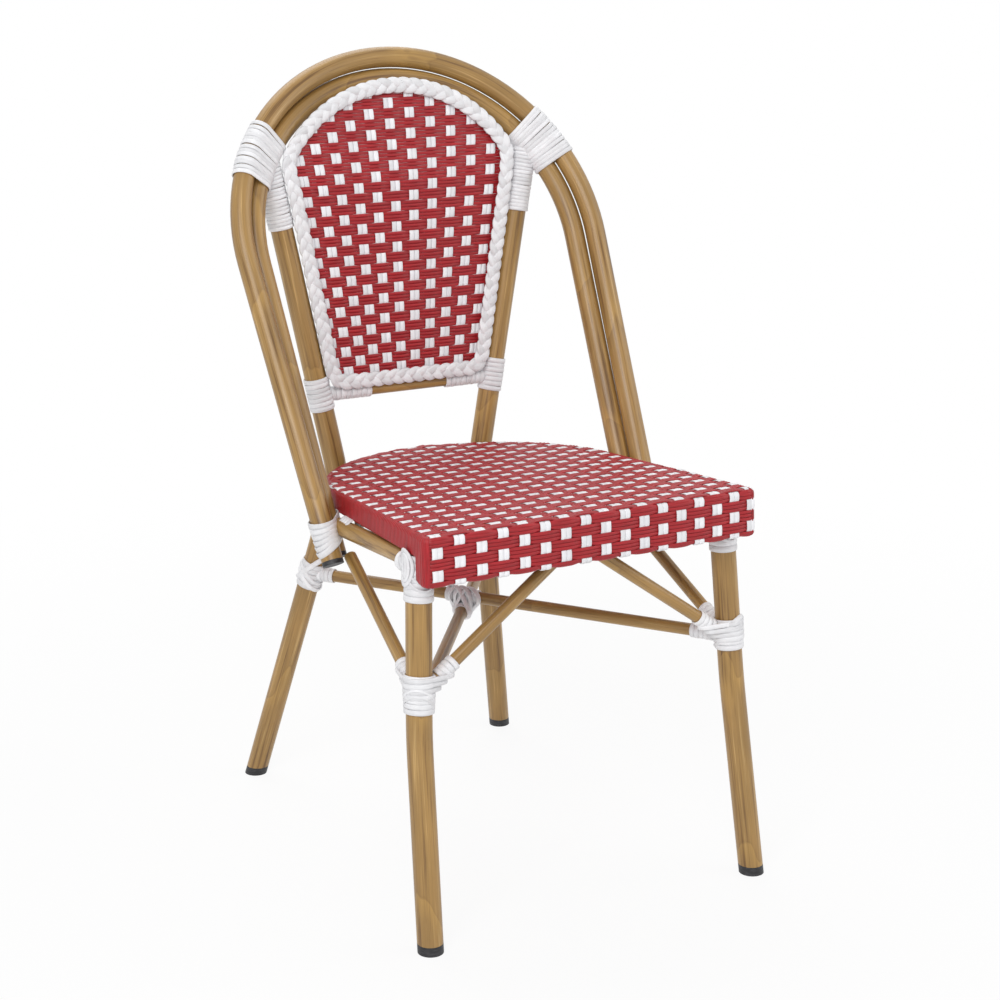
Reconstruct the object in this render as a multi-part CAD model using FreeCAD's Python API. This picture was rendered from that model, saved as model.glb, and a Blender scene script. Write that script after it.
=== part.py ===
import FreeCAD, Part
import math
import os

os.makedirs("parts", exist_ok=True)

# Bistro chair: bamboo-look tube frame, white lashings at the joints, woven seat and back panel.
# Millimetres, +Z up, the front faces -Y, left is -X.
# The origin lies on the floor, midway between the front and the rear feet.

# Tube sections
FRONT_LEG_DIA = 28.0
REAR_LEG_DIA = 26.0
HOOP_DIA = 24.0
RAIL_DIA = 19.0
STRUT_DIA = 14.0
PANEL_TUBE_DIA = 12.0
TUBE_WALL = 1.5

# Seat: a round back, straight tapering sides and a deeper front apron
SEAT_HEIGHT = 450.0
SEAT_TILT_DEG = 3.43
SEAT_FRONT_Y = -258.0
SEAT_HOOP_GAP = 2.1
SEAT_ARC_Y = -9.0
SEAT_TAPER_DEG = 5.1
SEAT_CORNER_RADIUS = 8.5
SEAT_THICKNESS = 27.5
SEAT_SHEET = 6.0
SEAT_TOP_ROUND = 7.0
SEAT_UNDER_ROUND = 5.0
SEAT_RING_DIA = 18.0
APRON_HEIGHT = 54.5

# Feet on the floor
FOOT_SPREAD_Y = 539.0
FRONT_FOOT_STEP = 18.0
REAR_FOOT_STEP = 79.5
FOOT_PLUG_HEIGHT = 10.0
PLUG_SPIGOT = 20.0

# Front legs: upper run, one gentle bend, lower run
FRONT_LEG_INSET = 13.4
FRONT_LEG_TOP_Y = SEAT_FRONT_Y + 45.0
FRONT_LEG_BEND_STEP = 9.5
FRONT_LEG_BEND_Y = FRONT_LEG_TOP_Y - 17.0
FRONT_LEG_BEND_Z = SEAT_HEIGHT / 2
FRONT_LEG_BEND_RADIUS = 600.0

# Rear legs: leg below the bend, back upright above it
REAR_BEND_X = 95.5
REAR_BEND_STEP = 34.2
REAR_BEND_Z = SEAT_HEIGHT - 54.0
REAR_BEND_RADIUS = 90.0
UPRIGHT_HOOP_DEG = 34.2
UPRIGHT_STEP_BACK = 3.6
UPRIGHT_SHORT = 17.0

# Double hoop round the back; the rear hoop nests inside and behind the front one
HOOP_RADIUS = 226.0
HOOP_LEAN_DEG = 28.6
HOOP_CENTRE_Y = 129.8
HOOP_CENTRE_Z = SEAT_HEIGHT + 233.0
HOOP_CONVERGE_DEG = 3.3
HOOP_END_Z = SEAT_HEIGHT - 82.0
HOOP_PLUG_CAP = 5.0
REAR_HOOP_STEP_IN = 0.86 * HOOP_DIA
REAR_HOOP_STEP_BACK = 0.6 * HOOP_DIA
REAR_HOOP_DROP = 0.065 * HOOP_DIA
REAR_HOOP_LEAN_DEG = HOOP_LEAN_DEG - 0.9
REAR_HOOP_CONVERGE_DEG = HOOP_CONVERGE_DEG - 0.95

# Back panel: a loop frame in two planes, the upper one leaning with the hoops
PANEL_BOTTOM_Z = SEAT_HEIGHT + 61.5
PANEL_FOLD_Z = SEAT_HEIGHT + 292.0
PANEL_TOP_STEP = 4.5
PANEL_LEAN_DEG = 3.1
PANEL_TOP_LEAN_DEG = 10.5
PANEL_BOTTOM_STEP = 20.0
PANEL_FOLD_STEP = 24.0
PANEL_CORNER_RADIUS = 19.0
PANEL_FOLD_RADIUS = 100.0
PANEL_SHOULDER_RADIUS = 30.0
PANEL_ARCH_RADIUS = HOOP_RADIUS - REAR_HOOP_STEP_IN - 36.6
PANEL_SHEET = 4.0
BRAID_DIA = 15.0

# Check weave: the columns of white strands stand out as ribs
RIB_WIDTH = 12.4
RIB_RELIEF = 0.9
SEAT_RIBS = 17
SEAT_RIB_SHIFT = 4.0
SEAT_RIB_BOW = 7.0
SEAT_RIB_MEETING = 3700.0
BACK_RIBS = 11
BACK_RIB_SHARE = 0.172
BACK_RIB_SHIFT = -9.5

# Rails, stretchers and braces
BACK_CROSS_RAIL_Z = PANEL_BOTTOM_Z - 14.0
SEAT_BACK_RAIL_END = 8.0
STRETCHER_Z = SEAT_HEIGHT - 185.0
BRACE_FOOT_Z = STRETCHER_Z + 5.0
SIDE_BRACE_STEP_IN = 12.7
SIDE_BRACE_STEP_FRONT = 9.7
SIDE_BRACE_TOP_Z = HOOP_END_Z - 2.0
FRONT_BRACE_TOP_X = 4.0
FRONT_BRACE_TOP_DROP = 4.0

# White lashings
LASHING_THICKNESS = 2.2
SHOULDER_FROM_DEG = 23.0
SHOULDER_TO_DEG = 40.0
UPRIGHT_LASHING_TO_Z = PANEL_FOLD_Z + 3.0
UPRIGHT_LASHING_FROM_Z = UPRIGHT_LASHING_TO_Z - 48.0
PANEL_LASHING_FROM_Z = PANEL_BOTTOM_Z - 30.5
PANEL_LASHING_TO_Z = PANEL_BOTTOM_Z + 6.5
CROSS_RAIL_LASHING_X = 50.0
HOOP_FOOT_LASHING_FROM_Z = HOOP_END_Z + 10.0
HOOP_FOOT_LASHING_TO_Z = HOOP_END_Z + 37.0
HOOP_FOOT_RAIL_LENGTH = 40.0
LEG_TOP_LASHING_Z = SEAT_HEIGHT - 79.0
BRACE_LASHING_FROM_Z = BRACE_FOOT_Z - 14.0
BRACE_LASHING_TO_Z = BRACE_FOOT_Z + 25.0
REAR_LASHING_LENGTH = 36.0
SEAT_BACK_LASHING_LENGTH = 30.0
STRUT_LASHING_LENGTH = 19.0
RAIL_LASHING_LENGTH = 18.0
CROSSING_LASHING_LENGTH = 44.0

# Seat screws
SCREW_DIA = 5.0
SCREW_HEAD_DIA = 9.0
SCREW_HEAD_HEIGHT = 3.0
SIDE_SCREW_Y = -165.0
BACK_SCREW_X = 42.0

# Clearances
FIT = 0.1
SEAT_GAP = 0.2
LASHING_GAP = 0.8
APRON_GAP = 5.0

LEFT = -1
RIGHT = 1
SIDE_NAMES = {LEFT: "left", RIGHT: "right"}
FAR = 2000.0


def vec(x, y, z):
    return FreeCAD.Vector(x, y, z)


def line(start, end):
    return Part.LineSegment(start, end).toShape()


def arc(start, middle, end):
    return Part.Arc(start, middle, end).toShape()


def along(start, end, distance):
    """Point at a distance from start towards end."""
    return start + (end - start).normalize() * distance


def at_height(start, end, z):
    """Point at height z on the line through two points."""
    return start + (end - start) * ((z - start.z) / (end.z - start.z))


def largest(shape):
    """The biggest solid of a cut shape."""
    return max(shape.Solids, key=lambda solid: solid.Volume)


def mirrored(shape):
    """The same piece on the other side of the chair."""
    return shape.mirror(vec(0, 0, 0), vec(1, 0, 0))


def slab(z_from, z_to):
    """Everything between two levels."""
    return Part.makeBox(2 * FAR, 2 * FAR, z_to - z_from, vec(-FAR, -FAR, z_from))


def corner_arc(before, corner, after, radius):
    """Start, middle and end of the arc that rounds a corner."""
    to_before = (before - corner).normalize()
    to_after = (after - corner).normalize()
    half = to_before.getAngle(to_after) / 2
    reach = radius / math.tan(half)
    middle = corner + (to_before + to_after).normalize() * (radius / math.sin(half) - radius)
    return corner + to_before * reach, middle, corner + to_after * reach


def rounded_edges(points, radii):
    """Straight runs through the points, with a tangent arc at each inner point."""
    edges = []
    last = points[0]
    for index, radius in enumerate(radii, start=1):
        start, middle, end = corner_arc(points[index - 1], points[index], points[index + 1], radius)
        edges.append(line(last, start))
        edges.append(arc(start, middle, end))
        last = end
    edges.append(line(last, points[-1]))
    return edges


class Rod:
    """A round bar along a path of straight runs and tangent arcs."""

    def __init__(self, edges, diameter):
        self.path = Part.Wire(edges)
        self.start = edges[0].valueAt(edges[0].FirstParameter)
        self.end = edges[-1].valueAt(edges[-1].LastParameter)
        self.direction = edges[0].tangentAt(edges[0].FirstParameter)
        self.diameter = diameter

    def solid(self, diameter):
        circle = Part.Wire(Part.Circle(self.start, self.direction, diameter / 2).toShape())
        return self.path.makePipeShell([circle], True, False)

    def body(self):
        return self.solid(self.diameter)

    def room(self):
        """The bar with its fit, to be cut from whatever touches it."""
        return self.solid(self.diameter + 2 * FIT)

    def bore(self, clearance=0.0):
        return self.solid(self.diameter - 2 * TUBE_WALL - 2 * clearance)

    def tube(self):
        return self.body().cut(self.bore())

    def coped(self, others):
        """The tube with its ends shaped to sit against the other bars."""
        shape = self.tube()
        for other in others:
            shape = shape.cut(other.room())
        return largest(shape)


def straight_rod(start, end, diameter):
    return Rod([line(start, end)], diameter)


def cylinder(start, end, diameter):
    return Part.makeCylinder(diameter / 2, start.distanceToPoint(end), start, end - start)


def sleeve(rod, start, end):
    """Solid outside of a lashing over a straight stretch of a bar."""
    return cylinder(start, end, rod.diameter + 2 * LASHING_THICKNESS)


def bound(sleeves, rooms):
    """One lashing: its sleeves joined, and hollow where other pieces run through it."""
    shape = sleeves[0]
    if len(sleeves) > 1:
        shape = shape.multiFuse(sleeves[1:])
    for room in rooms:
        shape = shape.cut(room)
    return largest(shape)


# Front legs

def front_leg_x():
    """The leg stands under the side of the seat."""
    return seat_side_points(0, FRONT_LEG_TOP_Y - SEAT_FRONT_Y)[0].x - FRONT_LEG_INSET


def front_leg_points(side):
    x = front_leg_x()
    fall = (FRONT_LEG_TOP_Y - SEAT_FRONT_Y) * math.tan(math.radians(SEAT_TILT_DEG))
    foot = vec(side * (x + FRONT_FOOT_STEP), -FOOT_SPREAD_Y / 2, 0)
    bend = vec(side * (x + FRONT_LEG_BEND_STEP), FRONT_LEG_BEND_Y, FRONT_LEG_BEND_Z)
    top = vec(side * x, FRONT_LEG_TOP_Y, SEAT_HEIGHT - fall - SEAT_THICKNESS)
    return foot, bend, top


def below_floor(foot, bend):
    """The foot end drawn out below the floor, which then trims it."""
    return along(foot, bend, -2 * FOOT_PLUG_HEIGHT)


def front_leg_rod(side):
    foot, bend, top = front_leg_points(side)
    end = along(top, bend, SEAT_GAP + FRONT_LEG_DIA * math.tan(math.radians(SEAT_TILT_DEG)))
    return Rod(rounded_edges([below_floor(foot, bend), bend, end], [FRONT_LEG_BEND_RADIUS]), FRONT_LEG_DIA)


def front_leg_at(side, z):
    """Point on the axis of the leg's upper run."""
    foot, bend, top = front_leg_points(side)
    return at_height(bend, top, z)


# Rear legs, which carry on above the bend as the back uprights

def rear_bend_y():
    """The bend lies a step behind the round back of the seat."""
    return SEAT_ARC_Y + math.sqrt(seat_back_radius() ** 2 - REAR_BEND_X ** 2) + REAR_BEND_STEP


def rear_leg_points(side):
    foot = vec(side * (REAR_BEND_X + REAR_FOOT_STEP), FOOT_SPREAD_Y / 2, 0)
    bend = vec(side * REAR_BEND_X, rear_bend_y(), REAR_BEND_Z)
    on_hoop = rear_hoop().on_arch(side, UPRIGHT_HOOP_DEG) + vec(0, UPRIGHT_STEP_BACK, 0)
    return foot, bend, along(on_hoop, bend, UPRIGHT_SHORT)


def rear_leg_rod(side):
    foot, bend, top = rear_leg_points(side)
    return Rod(rounded_edges([below_floor(foot, bend), bend, top], [REAR_BEND_RADIUS]), REAR_LEG_DIA)


def rear_leg_at(side, z):
    """Point on the axis of the leg, below the bend."""
    foot, bend, top = rear_leg_points(side)
    return at_height(foot, bend, z)


def upright_at(side, z):
    """Point on the axis of the upright, above the bend."""
    foot, bend, top = rear_leg_points(side)
    return at_height(bend, top, z)


def make_leg(rod, others):
    """A leg tube, cut off above its foot plug and coped to the bars it meets."""
    return largest(rod.coped(others).common(slab(FOOT_PLUG_HEIGHT, FAR)))


def make_foot_plug(rod):
    """Plug flush with the tube, with a spigot up the bore."""
    cap = rod.body().common(slab(0, FOOT_PLUG_HEIGHT))
    spigot = rod.bore(FIT).common(slab(FOOT_PLUG_HEIGHT / 2, FOOT_PLUG_HEIGHT + PLUG_SPIGOT))
    return largest(cap.fuse(spigot).removeSplitter())


# Hoops

class Hoop:
    """An arch with two legs that converge downwards, in a plane that leans back."""

    def __init__(self, radius, lean, converge, centre):
        self.radius = radius
        self.centre = centre
        self.up = vec(0, math.sin(math.radians(lean)), math.cos(math.radians(lean)))
        self.converge = math.radians(converge)

    def on_arch(self, side, degrees):
        """Point of the arch at an angle above the level of its centre."""
        angle = math.radians(degrees)
        out = vec(side * self.radius * math.cos(angle), 0, 0)
        return self.centre + out + self.up * (self.radius * math.sin(angle))

    def shoulder(self, side):
        """Point where the arch meets the leg."""
        return self.on_arch(side, -math.degrees(self.converge))

    def on_leg(self, side, z):
        start = self.shoulder(side)
        run = vec(-side * math.sin(self.converge), 0, 0) - self.up * math.cos(self.converge)
        return start + run * ((z - start.z) / run.z)

    def rod(self):
        left, right = self.shoulder(LEFT), self.shoulder(RIGHT)
        edges = [
            line(self.on_leg(LEFT, HOOP_END_Z), left),
            arc(left, self.on_arch(LEFT, 90), right),
            line(right, self.on_leg(RIGHT, HOOP_END_Z)),
        ]
        return Rod(edges, HOOP_DIA)

    def plug(self, side):
        """End plug with a flush cap and a spigot up the bore."""
        end = self.on_leg(side, HOOP_END_Z)
        shoulder = self.shoulder(side)
        cap = cylinder(along(end, shoulder, -HOOP_PLUG_CAP), end, HOOP_DIA)
        spigot = cylinder(end, along(end, shoulder, PLUG_SPIGOT), HOOP_DIA - 2 * TUBE_WALL - 2 * FIT)
        return largest(cap.fuse(spigot))


def front_hoop():
    return Hoop(HOOP_RADIUS, HOOP_LEAN_DEG, HOOP_CONVERGE_DEG, vec(0, HOOP_CENTRE_Y, HOOP_CENTRE_Z))


def rear_hoop():
    lean = math.radians(HOOP_LEAN_DEG)
    up = vec(0, math.sin(lean), math.cos(lean))
    back = vec(0, math.cos(lean), -math.sin(lean))
    centre = vec(0, HOOP_CENTRE_Y, HOOP_CENTRE_Z) + back * REAR_HOOP_STEP_BACK - up * REAR_HOOP_DROP
    return Hoop(HOOP_RADIUS - REAR_HOOP_STEP_IN, REAR_HOOP_LEAN_DEG, REAR_HOOP_CONVERGE_DEG, centre)


def pair_section(first, second, direction):
    """Outline of a lashing round both hoop tubes, square to a direction."""
    radius = HOOP_DIA / 2 + LASHING_THICKNESS
    run = direction.normalize()
    second = second - run * (second - first).dot(run)
    across = (second - first).normalize()
    side = run.cross(across)
    return Part.Wire([
        line(first + side * radius, second + side * radius),
        arc(second + side * radius, second + across * radius, second - side * radius),
        line(second - side * radius, first - side * radius),
        arc(first - side * radius, first - across * radius, first + side * radius),
    ])


# Seat rails lie under the seat, in its tilted plane

RAIL_DEPTH = SEAT_THICKNESS + SEAT_GAP + RAIL_DIA / 2


def seat_placement():
    """Seat pieces are drawn flat, with the top front edge on the origin."""
    turn = FreeCAD.Rotation(vec(1, 0, 0), -SEAT_TILT_DEG)
    return FreeCAD.Placement(vec(0, SEAT_FRONT_Y, SEAT_HEIGHT), turn)


def placed(shape):
    """A flat-drawn seat piece in its tilted place."""
    return shape.transformed(seat_placement().toMatrix(), copy=True)


def seat_point(x, y, depth):
    """Point at a depth under the seat's top."""
    return seat_placement().multVec(vec(x, y - SEAT_FRONT_Y, -depth))


def side_rail_rod(side):
    front = seat_point(side * front_leg_x(), FRONT_LEG_TOP_Y, RAIL_DEPTH)
    hoop_y = rear_hoop().on_leg(side, front.z).y
    return straight_rod(front, seat_point(side * front_leg_x(), hoop_y, RAIL_DEPTH), RAIL_DIA)


def front_rail_rod():
    left = seat_point(-front_leg_x(), FRONT_LEG_TOP_Y, RAIL_DEPTH)
    right = seat_point(front_leg_x(), FRONT_LEG_TOP_Y, RAIL_DEPTH)
    return straight_rod(left, right, RAIL_DIA)


def back_rail_y():
    """The rail under the back of the seat is let a little into the front of the uprights."""
    return rear_bend_y() - (REAR_LEG_DIA + RAIL_DIA) / 2 + RAIL_DIA / 6


def back_rail_rod():
    half = REAR_BEND_X + SEAT_BACK_RAIL_END
    left = seat_point(-half, back_rail_y(), RAIL_DEPTH)
    right = seat_point(half, back_rail_y(), RAIL_DEPTH)
    return straight_rod(left, right, RAIL_DIA)


# Stretchers cross under the seat, one over the other; the upper one starts at the left rear leg

def stretcher_rod(rear_side):
    level = 1 if rear_side == LEFT else -1
    z = STRETCHER_Z + level * (STRUT_DIA / 2 + FIT)
    return straight_rod(rear_leg_at(rear_side, z), front_leg_at(-rear_side, z), STRUT_DIA)


# Braces rise from the front legs to the front rail and to the ends of the hoops

def front_brace_rod(side):
    top = seat_point(side * FRONT_BRACE_TOP_X, FRONT_LEG_TOP_Y, RAIL_DEPTH + FRONT_BRACE_TOP_DROP)
    return straight_rod(front_leg_at(side, BRACE_FOOT_Z), top, STRUT_DIA)


def side_brace_rod(side):
    beside = vec(-side * SIDE_BRACE_STEP_IN, -SIDE_BRACE_STEP_FRONT, 0)
    top = rear_hoop().on_leg(side, SIDE_BRACE_TOP_Z) + beside
    return straight_rod(front_leg_at(side, BRACE_FOOT_Z), top, STRUT_DIA)


def back_cross_rail_rod():
    left = upright_at(LEFT, BACK_CROSS_RAIL_Z)
    right = upright_at(RIGHT, BACK_CROSS_RAIL_Z)
    return straight_rod(left, right, STRUT_DIA)


# Back panel

def panel_setback():
    """How far the panel stands in front of the uprights, so that its braid just clears them."""
    reach = (REAR_LEG_DIA + BRAID_DIA) / 2 + 3 * FIT
    return math.sqrt(reach ** 2 - PANEL_BOTTOM_STEP ** 2)


def panel_up(lean):
    return vec(0, math.sin(math.radians(lean)), math.cos(math.radians(lean)))


def panel_middle():
    """Points on the panel's middle line: at the bottom, at the fold and at the top."""
    lower, upper = panel_up(PANEL_LEAN_DEG), panel_up(PANEL_TOP_LEAN_DEG)
    bottom = vec(0, upright_at(LEFT, PANEL_BOTTOM_Z).y - panel_setback(), PANEL_BOTTOM_Z)
    fold = bottom + lower * ((PANEL_FOLD_Z - PANEL_BOTTOM_Z) / lower.z)
    top_z = rear_hoop().on_arch(LEFT, 90).z - PANEL_TOP_STEP
    top = fold + upper * ((top_z - PANEL_FOLD_Z) / upper.z)
    return bottom, fold, top


def panel_half_widths():
    """Half width of the loop at its bottom and at the fold."""
    bottom = upright_at(RIGHT, PANEL_BOTTOM_Z).x - PANEL_BOTTOM_STEP
    return bottom, upright_at(RIGHT, PANEL_FOLD_Z).x - PANEL_FOLD_STEP


def panel_half_edges(side):
    """Half of the loop, from the middle of the bottom round to the middle of the arch."""
    bottom, fold, top = panel_middle()
    upper = panel_up(PANEL_TOP_LEAN_DEG)
    bottom_x, fold_x = panel_half_widths()
    flare = math.atan2(fold_x - bottom_x, (fold - bottom).Length)
    # The shoulder arc touches the side's line and, from inside, the arch.
    arch_rise = (top - fold).Length - PANEL_ARCH_RADIUS
    reach = PANEL_ARCH_RADIUS - PANEL_SHOULDER_RADIUS
    inner_x = fold_x - PANEL_SHOULDER_RADIUS / math.cos(flare)
    slope = math.tan(flare)
    a = 1 + slope ** 2
    b = inner_x * slope - arch_rise
    c = inner_x ** 2 + arch_rise ** 2 - reach ** 2
    shoulder_rise = (-b + math.sqrt(b ** 2 - a * c)) / a
    shoulder_x = inner_x + slope * shoulder_rise
    turn = math.atan2(shoulder_rise - arch_rise, shoulder_x)

    def on_circle(x, rise, radius, angle):
        out = vec(side * (x + radius * math.cos(angle)), 0, 0)
        return fold + out + upper * (rise + radius * math.sin(angle))

    def on_shoulder(angle):
        return on_circle(shoulder_x, shoulder_rise, PANEL_SHOULDER_RADIUS, angle)

    def on_arch(angle):
        return on_circle(0, arch_rise, PANEL_ARCH_RADIUS, angle)

    corner = bottom + vec(side * bottom_x, 0, 0)
    bend = fold + vec(side * fold_x, 0, 0)
    runs = [bottom, corner, bend, on_shoulder(-flare)]
    edges = rounded_edges(runs, [PANEL_CORNER_RADIUS, PANEL_FOLD_RADIUS])
    edges.append(arc(on_shoulder(-flare), on_shoulder((turn - flare) / 2), on_shoulder(turn)))
    edges.append(arc(on_arch(turn), on_arch((turn + math.pi / 2) / 2), on_arch(math.pi / 2)))
    return edges


def panel_loop(diameter, bore=0.0):
    """Round bar along the whole loop, with a bore if one is given."""
    halves = []
    for side in (LEFT, RIGHT):
        rod = Rod(panel_half_edges(side), diameter)
        halves.append(rod.body().cut(rod.solid(bore)) if bore else rod.body())
    return largest(halves[0].fuse(halves[1]))


def make_panel_frame():
    return panel_loop(PANEL_TUBE_DIA, PANEL_TUBE_DIA - 2 * TUBE_WALL)


def make_back_braid():
    return panel_loop(BRAID_DIA, PANEL_TUBE_DIA + 2 * FIT)


def panel_strip(thickness):
    """Sheet bent at the fold, wider than the loop."""
    bottom, fold, top = panel_middle()
    start, middle, end = corner_arc(bottom, fold, top, PANEL_FOLD_RADIUS)

    def half_sheet(lean):
        angle = math.radians(lean)
        return vec(0, -math.cos(angle), math.sin(angle)) * (thickness / 2)

    low, high = half_sheet(PANEL_LEAN_DEG), half_sheet(PANEL_TOP_LEAN_DEG)
    mid = half_sheet((PANEL_LEAN_DEG + PANEL_TOP_LEAN_DEG) / 2)
    profile = Part.Wire([
        line(bottom + low, start + low),
        arc(start + low, middle + mid, end + high),
        line(end + high, top + high),
        line(top + high, top - high),
        line(top - high, end - high),
        arc(end - high, middle - mid, start - low),
        line(start - low, bottom - low),
        line(bottom - low, bottom + low),
    ])
    strip = Part.Face(profile).extrude(vec(2 * HOOP_RADIUS, 0, 0))
    strip.translate(vec(-HOOP_RADIUS, 0, 0))
    return strip


def back_rib_room(number):
    """Wedge seen from the front, in which one white column fans out upwards."""
    bottom_x, fold_x = panel_half_widths()
    top_z = panel_middle()[2].z
    middles = []
    for z in (PANEL_BOTTOM_Z, top_z):
        half = bottom_x + (fold_x - bottom_x) * (z - PANEL_BOTTOM_Z) / (PANEL_FOLD_Z - PANEL_BOTTOM_Z)
        middles.append(vec(BACK_RIB_SHIFT + number * BACK_RIB_SHARE * half, 0, z))
    step = vec(RIB_WIDTH / 2, 0, 0)
    low, high = middles
    outline = Part.makePolygon([low - step, low + step, high + step, high - step, low - step])
    return Part.Face(outline).extrude(vec(0, 2 * HOOP_RADIUS, 0))


def make_back_weave():
    """Bent sheet with a rib along each white column, filling the loop inside the braid."""
    full = panel_strip(PANEL_SHEET)
    last = BACK_RIBS // 2
    ribs = [full.common(back_rib_room(number)) for number in range(-last, last + 1)]
    sheet = panel_strip(PANEL_SHEET - 2 * RIB_RELIEF).multiFuse(ribs)
    return largest(sheet.cut(panel_loop(BRAID_DIA + 2 * FIT)))


# Seat, drawn flat and then tilted into place

APRON_DEPTH = FRONT_LEG_TOP_Y - FRONT_LEG_DIA / 2 - APRON_GAP - SEAT_FRONT_Y
SEAT_WRAP = (SEAT_THICKNESS - SEAT_RING_DIA) / 2


def seat_back_radius():
    """The round back of the seat fits between the legs of the rear hoop."""
    return rear_hoop().on_leg(RIGHT, SEAT_HEIGHT).x - HOOP_DIA / 2 - SEAT_HOOP_GAP


def seat_side_points(inset, front):
    """Front end, tangent point and back middle of the right side of the outline."""
    taper = math.radians(SEAT_TAPER_DEG)
    radius = seat_back_radius() - inset
    centre_y = SEAT_ARC_Y - SEAT_FRONT_Y
    tangent = vec(radius * math.cos(taper), centre_y + radius * math.sin(taper), 0)
    front_end = vec(tangent.x + (tangent.y - front) * math.tan(taper), front, 0)
    return front_end, tangent, vec(0, centre_y + radius, 0)


def flipped(point):
    return vec(-point.x, point.y, point.z)


def seat_u_edges(inset, front):
    """Left side, round back and right side of the outline."""
    front_end, tangent, back = seat_side_points(inset, front)
    return [
        line(flipped(front_end), flipped(tangent)),
        arc(flipped(tangent), back, tangent),
        line(tangent, front_end),
    ]


def seat_block(inset, front, z_from, z_to):
    """The whole outline as a block between two levels."""
    front_end, tangent, back = seat_side_points(inset, front)
    edges = seat_u_edges(inset, front)
    edges.append(line(front_end, flipped(front_end)))
    block = Part.Face(Part.Wire(edges)).extrude(vec(0, 0, z_to - z_from))
    block.translate(vec(0, 0, z_from))
    return block


def edges_at(shape, z):
    """Edges that lie flat at a level."""
    boxes = [(edge, edge.BoundBox) for edge in shape.Edges]
    return [edge for edge, box in boxes if abs(box.ZMin - z) < FIT and abs(box.ZMax - z) < FIT]


def front_corner_edges(shape):
    """Upright edges at the front corners."""
    boxes = [(edge, edge.BoundBox) for edge in shape.Edges]
    return [edge for edge, box in boxes if box.XLength < FIT and box.YMax < FIT]


def seat_blank():
    """Rounded outside of the woven seat."""
    plate = seat_block(0, 0, -SEAT_THICKNESS, 0)
    apron_zone = Part.makeBox(2 * FAR, APRON_DEPTH, APRON_HEIGHT, vec(-FAR, 0, -APRON_HEIGHT))
    apron = seat_block(0, 0, -APRON_HEIGHT, 0).common(apron_zone)
    blank = largest(plate.fuse(apron).removeSplitter())
    blank = blank.makeFillet(SEAT_CORNER_RADIUS, front_corner_edges(blank))
    blank = blank.makeFillet(SEAT_TOP_ROUND, edges_at(blank, 0))
    return blank.makeFillet(SEAT_UNDER_ROUND, edges_at(blank, -APRON_HEIGHT))


def seat_beam(grow):
    """Front beam of the seat frame."""
    wrap = SEAT_WRAP - grow
    half = seat_side_points(SEAT_CORNER_RADIUS, 0)[0].x + grow
    corner = vec(-half, wrap, wrap - APRON_HEIGHT)
    return Part.makeBox(2 * half, APRON_DEPTH - 2 * wrap, APRON_HEIGHT - 2 * wrap, corner)


def seat_ring(diameter):
    """Bent tube of the seat frame, from the front beam round the back."""
    edges = seat_u_edges(SEAT_THICKNESS / 2, APRON_DEPTH - 2 * SEAT_WRAP)
    ring = Rod(edges, diameter).body()
    ring.translate(vec(0, 0, -SEAT_THICKNESS / 2))
    return ring


def make_seat_frame():
    """Ring and front beam, hollow and welded into one piece."""
    outside = seat_ring(SEAT_RING_DIA).fuse(seat_beam(0))
    inside = seat_ring(SEAT_RING_DIA - 2 * TUBE_WALL).fuse(seat_beam(-TUBE_WALL))
    return drilled(placed(largest(outside.cut(inside))))


def seat_rib_x(number, y):
    """Middle of a rib, at a distance behind the front; the ribs run together backwards."""
    pitch = 2 * seat_side_points(0, 0)[0].x / SEAT_RIBS * (1 - y / SEAT_RIB_MEETING)
    last = (SEAT_RIBS - 1) / 2
    share = (number - last) / last
    return SEAT_RIB_SHIFT + share * last * pitch + SEAT_RIB_BOW * (1 - share ** 2)


def seat_grooves():
    """Shallow grooves between the ribs, on the top and on the front of the apron."""
    length = seat_side_points(0, 0)[2].y
    half = RIB_WIDTH / 2
    top_zone = seat_block(SEAT_TOP_ROUND, SEAT_TOP_ROUND, -RIB_RELIEF, RIB_RELIEF)
    apron_top, apron_bottom = -SEAT_TOP_ROUND, SEAT_UNDER_ROUND - APRON_HEIGHT
    grooves = []
    for number in range(SEAT_RIBS - 1):
        left, right = seat_rib_x(number, 0) + half, seat_rib_x(number + 1, 0) - half
        back_left, back_right = seat_rib_x(number, length) + half, seat_rib_x(number + 1, length) - half
        corners = [(left, 0), (right, 0), (back_right, length), (back_left, length), (left, 0)]
        outline = Part.makePolygon([vec(x, y, -RIB_RELIEF) for x, y in corners])
        wedge = Part.Face(outline).extrude(vec(0, 0, 2 * RIB_RELIEF))
        grooves.append(wedge.common(top_zone))
        corner = vec(left, -RIB_RELIEF, apron_bottom)
        grooves.append(Part.makeBox(right - left, 2 * RIB_RELIEF, apron_top - apron_bottom, corner))
    return Part.makeCompound(grooves)


def make_seat_weave():
    """Ribbed top sheet and the winding round the seat frame, open below in the middle."""
    pocket = seat_block(SEAT_THICKNESS, APRON_DEPTH, -2 * SEAT_THICKNESS, -SEAT_SHEET)
    frame_room = seat_ring(SEAT_RING_DIA + 2 * FIT).fuse(seat_beam(FIT))
    shell = seat_blank().cut(pocket).cut(frame_room).cut(seat_grooves())
    return drilled(placed(largest(shell)))


def seat_room():
    """The seat with its gap, to be cut from the lashings, which stay open above the rails."""
    depth = SEAT_THICKNESS + LASHING_GAP
    plate = seat_block(-SEAT_GAP, -SEAT_GAP, -depth, 0)
    corner = vec(-FAR, -SEAT_GAP, -APRON_HEIGHT)
    apron = Part.makeBox(2 * FAR, APRON_DEPTH + 2 * SEAT_GAP, APRON_HEIGHT, corner)
    return placed(plate.fuse(apron))


# Seat screws run up through the rails into the seat's ring

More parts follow.
